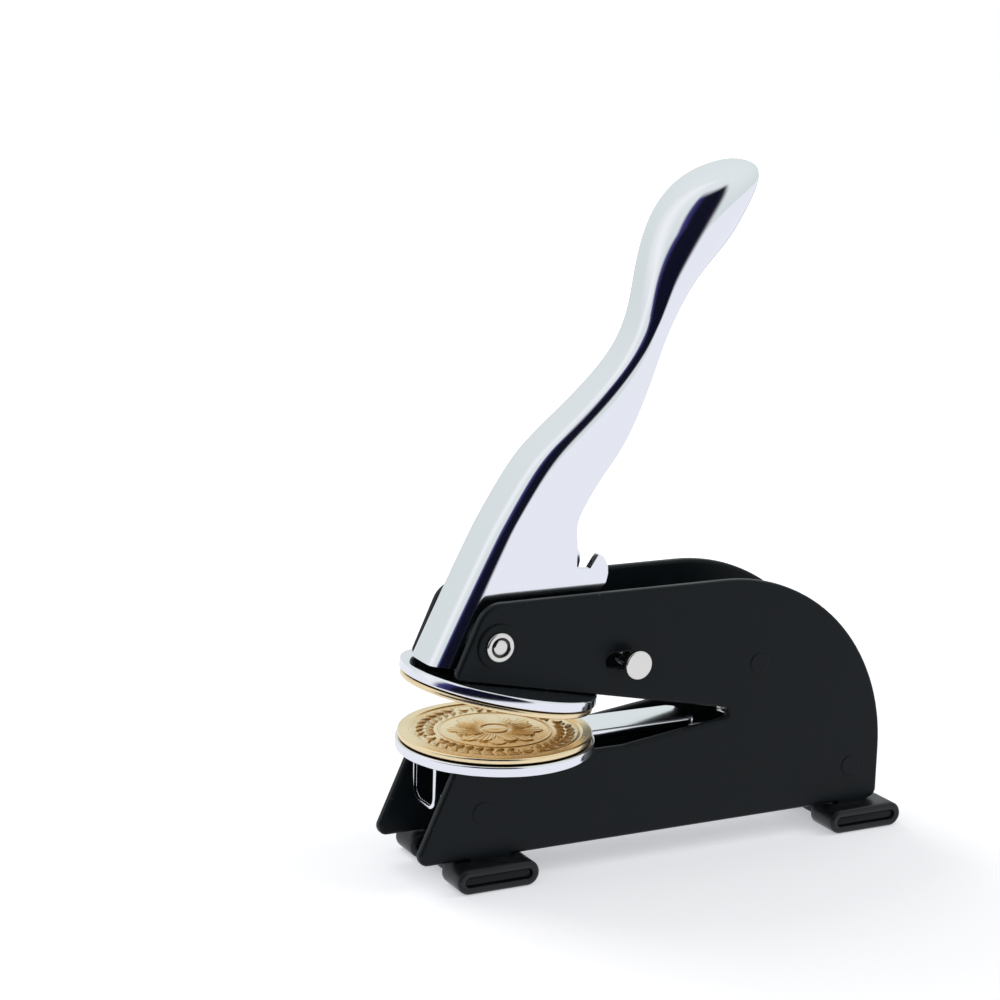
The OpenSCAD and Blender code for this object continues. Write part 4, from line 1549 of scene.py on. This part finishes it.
@dataclass(frozen=True)
class Sector:
    """A range of bearings about the object, counted from the front, -Y, towards +X.

    All are in degrees: the first bearing, the last one, the width of the soft step at both, and
    how far the first bearing has moved on at a height of LEAN_TOP.
    """

    start: float
    end: float
    soft: float
    lean: float = 0.0

    def mask(self, nodes: Nodes, way: Socket) -> Socket:
        """Returns 1 where a direction or place lies in the sector and 0 elsewhere."""
        parts = nodes.parts(way)
        bearing = nodes.math("ARCTAN2", parts[0], nodes.times(parts[1], -1.0))
        start, end, soft = (math.radians(v) for v in (self.start, self.end, self.soft))
        moved = nodes.span(parts[2], 0.0, LEAN_TOP, 0.0, math.radians(self.lean))
        low = nodes.span(nodes.math("SUBTRACT", bearing, moved), start, start + soft)
        return nodes.times(low, nodes.span(bearing, end - soft, end, 1.0, 0.0))


# What polished metal mirrors: a dark room with its own shades, a window and the far side.
ROOM = Sector(-16, 101, 9, 38.0)
ROOM_INSIDE = Sector(-4, 120, 16, 38.0)
ROOM_END = Sector(88, 130, 8)
WINDOW = Sector(-54, 4, 26)
FAR_SIDE = Sector(-152, -84, 26)


def room_tone(nodes: Nodes, way: Socket) -> Socket:
    """Returns the room's colour: nearly black, with a violet edge and a brown one."""
    edge = nodes.math("SUBTRACT", 1.0, ROOM_INSIDE.mask(nodes, way))
    return nodes.mix(ROOM_END.mask(nodes, way), nodes.mix(edge, ROOM_COLOUR, ROOM_EDGE), ROOM_WALL)


def ray_kinds(nodes: Nodes) -> tuple[Socket, Socket]:
    """Returns two masks: rays from the camera, and rays that polished surfaces send on."""
    path = nodes.add("LightPath").outputs
    return path["Is Camera Ray"], nodes.math("MAXIMUM", path["Is Glossy Ray"],
                                             path["Is Transmission Ray"])


@dataclass(frozen=True)
class Studio:
    """The camera, the lamps, the world and the floor."""

    eye: tuple[float, float, float] = (502.01, -260.50, 215.76)
    azimuth: float = 62.60
    elevation: float = 11.98
    roll: float = 1.52
    lens: float = 83.07
    sensor: float = 36.0
    aim: float = 0.08
    floor_half: float = 3.0
    floor_drop: float = 0.05

    def camera(self) -> None:
        """Sets the camera from the photograph's solved view."""
        az, el, roll = (math.radians(v) for v in (self.azimuth, self.elevation, self.roll))
        back = Vector((math.sin(az) * math.cos(el), -math.cos(az) * math.cos(el), math.sin(el)))
        right = Vector((math.cos(az), math.sin(az), 0.0))
        up = back.cross(right)
        right2 = math.cos(roll) * right + math.sin(roll) * up
        up2 = -math.sin(roll) * right + math.cos(roll) * up
        data = bpy.data.cameras.new("photo_camera")
        data.lens, data.sensor_width, data.clip_start = self.lens, self.sensor, 0.01
        camera = bpy.data.objects.new("photo_camera", data)
        turn = Matrix((right2, up2, back)).transposed().to_4x4()
        camera.matrix_world = Matrix.Translation(Vector(place(np.array(self.eye)))) @ turn
        bpy.context.scene.collection.objects.link(camera)
        bpy.context.scene.camera = camera

    def lamp(self, name: str, spot: tuple[float, float, float], size: float, watts: float) -> None:
        """Adds a square softbox at spot, in metres, that faces the object's middle."""
        data = bpy.data.lights.new(name, "AREA")
        data.energy, data.size = watts, size
        lamp = bpy.data.objects.new(name, data)
        lamp.location = spot
        lamp.visible_glossy = False
        towards = Vector((0, 0, self.aim)) - Vector(spot)
        lamp.rotation_euler = towards.to_track_quat("-Z", "Y").to_euler()
        bpy.context.scene.collection.objects.link(lamp)

    def world(self) -> None:
        """Makes a white world with a dark opening, where the room shows in polished metal."""
        world = bpy.data.worlds.new("studio_world")
        bpy.context.scene.world = world
        world.use_nodes = True
        nodes = Nodes(world.node_tree)
        from_camera, shiny = ray_kinds(nodes)
        way = nodes.add("TexCoord").outputs["Generated"]
        height = nodes.parts(way)[2]
        level = nodes.times(nodes.span(height, -0.3, -0.2), nodes.span(height, 0.84, 0.93, 1.0, 0.0))
        dark = nodes.times(ROOM.mask(nodes, way), level)
        pale = nodes.mix(nodes.span(height, -0.2, 0.9), SKY_LOW, SKY_HIGH)
        pale = nodes.mix(WINDOW.mask(nodes, way), pale, WINDOW_WHITE)
        below = nodes.times(FAR_SIDE.mask(nodes, way), nodes.span(height, -0.12, -0.02, 1.0, 0.0))
        pale = nodes.mix(below, pale, OUTLINE_GREY)
        seen = nodes.mix(dark, pale, room_tone(nodes, way))
        tone = nodes.mix(from_camera, nodes.mix(shiny, AMBIENT, seen), WHITE)
        nodes.link(tone, nodes.tree.nodes["Background"], "Color")

    def floor(self) -> None:
        """Lays a pale floor, white to the camera and to polished metal where nothing shades it."""
        half = self.floor_half / MM
        corners = ((-half, -half), (half, -half), (half, half), (-half, half))
        grid = np.array([(x, y, -self.floor_drop) for x, y in corners])
        floor = new_object("studio_floor", grid, [(0, 1, 2, 3)])
        material = bpy.data.materials.new("pale_floor")
        material.use_nodes = True
        nodes = Nodes(material.node_tree)
        shader = material.node_tree.nodes["Principled BSDF"]
        for key, value in (("Roughness", 0.9), ("Specular IOR Level", 0.0), ("Emission Strength", 1.0)):
            shader.inputs[key].default_value = value
        from_camera, shiny = ray_kinds(nodes)
        spot = nodes.spot()
        reach = nodes.add("VectorMath", {0: spot}, operation="LENGTH").outputs["Value"]
        dark = nodes.times(shiny, nodes.times(ROOM.mask(nodes, spot), nodes.span(reach, 0.3, 0.42)))
        near = nodes.mix(nodes.span(reach, 0.2, 0.7), FLOOR_NEAR, WHITE)
        plain = nodes.mix(from_camera, BLACK, near)
        behind = nodes.times(FAR_SIDE.mask(nodes, spot), nodes.span(reach, 0.15, 0.3))
        mirrored = nodes.mix(behind, MIRRORED_FLOOR, OUTLINE_GREY)
        glow = nodes.mix(dark, nodes.mix(shiny, plain, mirrored), room_tone(nodes, spot))
        nodes.link(glow, shader, "Emission Color")
        nodes.link(nodes.mix(shiny, FLOOR_GREY, BLACK), shader, "Base Color")
        floor.data.materials.append(material)

    def build(self) -> None:
        """Sets up everything that isn't the object."""
        bpy.context.scene.view_settings.view_transform = "Standard"
        self.camera()
        self.world()
        self.floor()
        self.lamp("key_softbox", (-1.2, -0.45, 1.1), size=1.1, watts=12.0)
        self.lamp("rear_softbox", (0.5, 1.2, 1.2), size=1.0, watts=6.0)


def main() -> None:
    """Builds the studio and each sub-assembly in turn, and reports the pieces."""
    logging.basicConfig(level=logging.INFO, format="%(message)s")
    Studio().build()
    feet = [Foot(name=name, middle=middle)
            for name, middle in zip(("front_foot", "rear_foot"), FOOT_PLACES)]
    assemblies = [PressFrame(), *feet, LowerDie(), UpperDie(), Handle(), LockPin()]
    for assembly in assemblies:
        assembly.build()
        log.info("%s: %d pieces", type(assembly).__name__, len(assembly.pieces))


if __name__ == "__main__":
    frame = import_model()
    main()
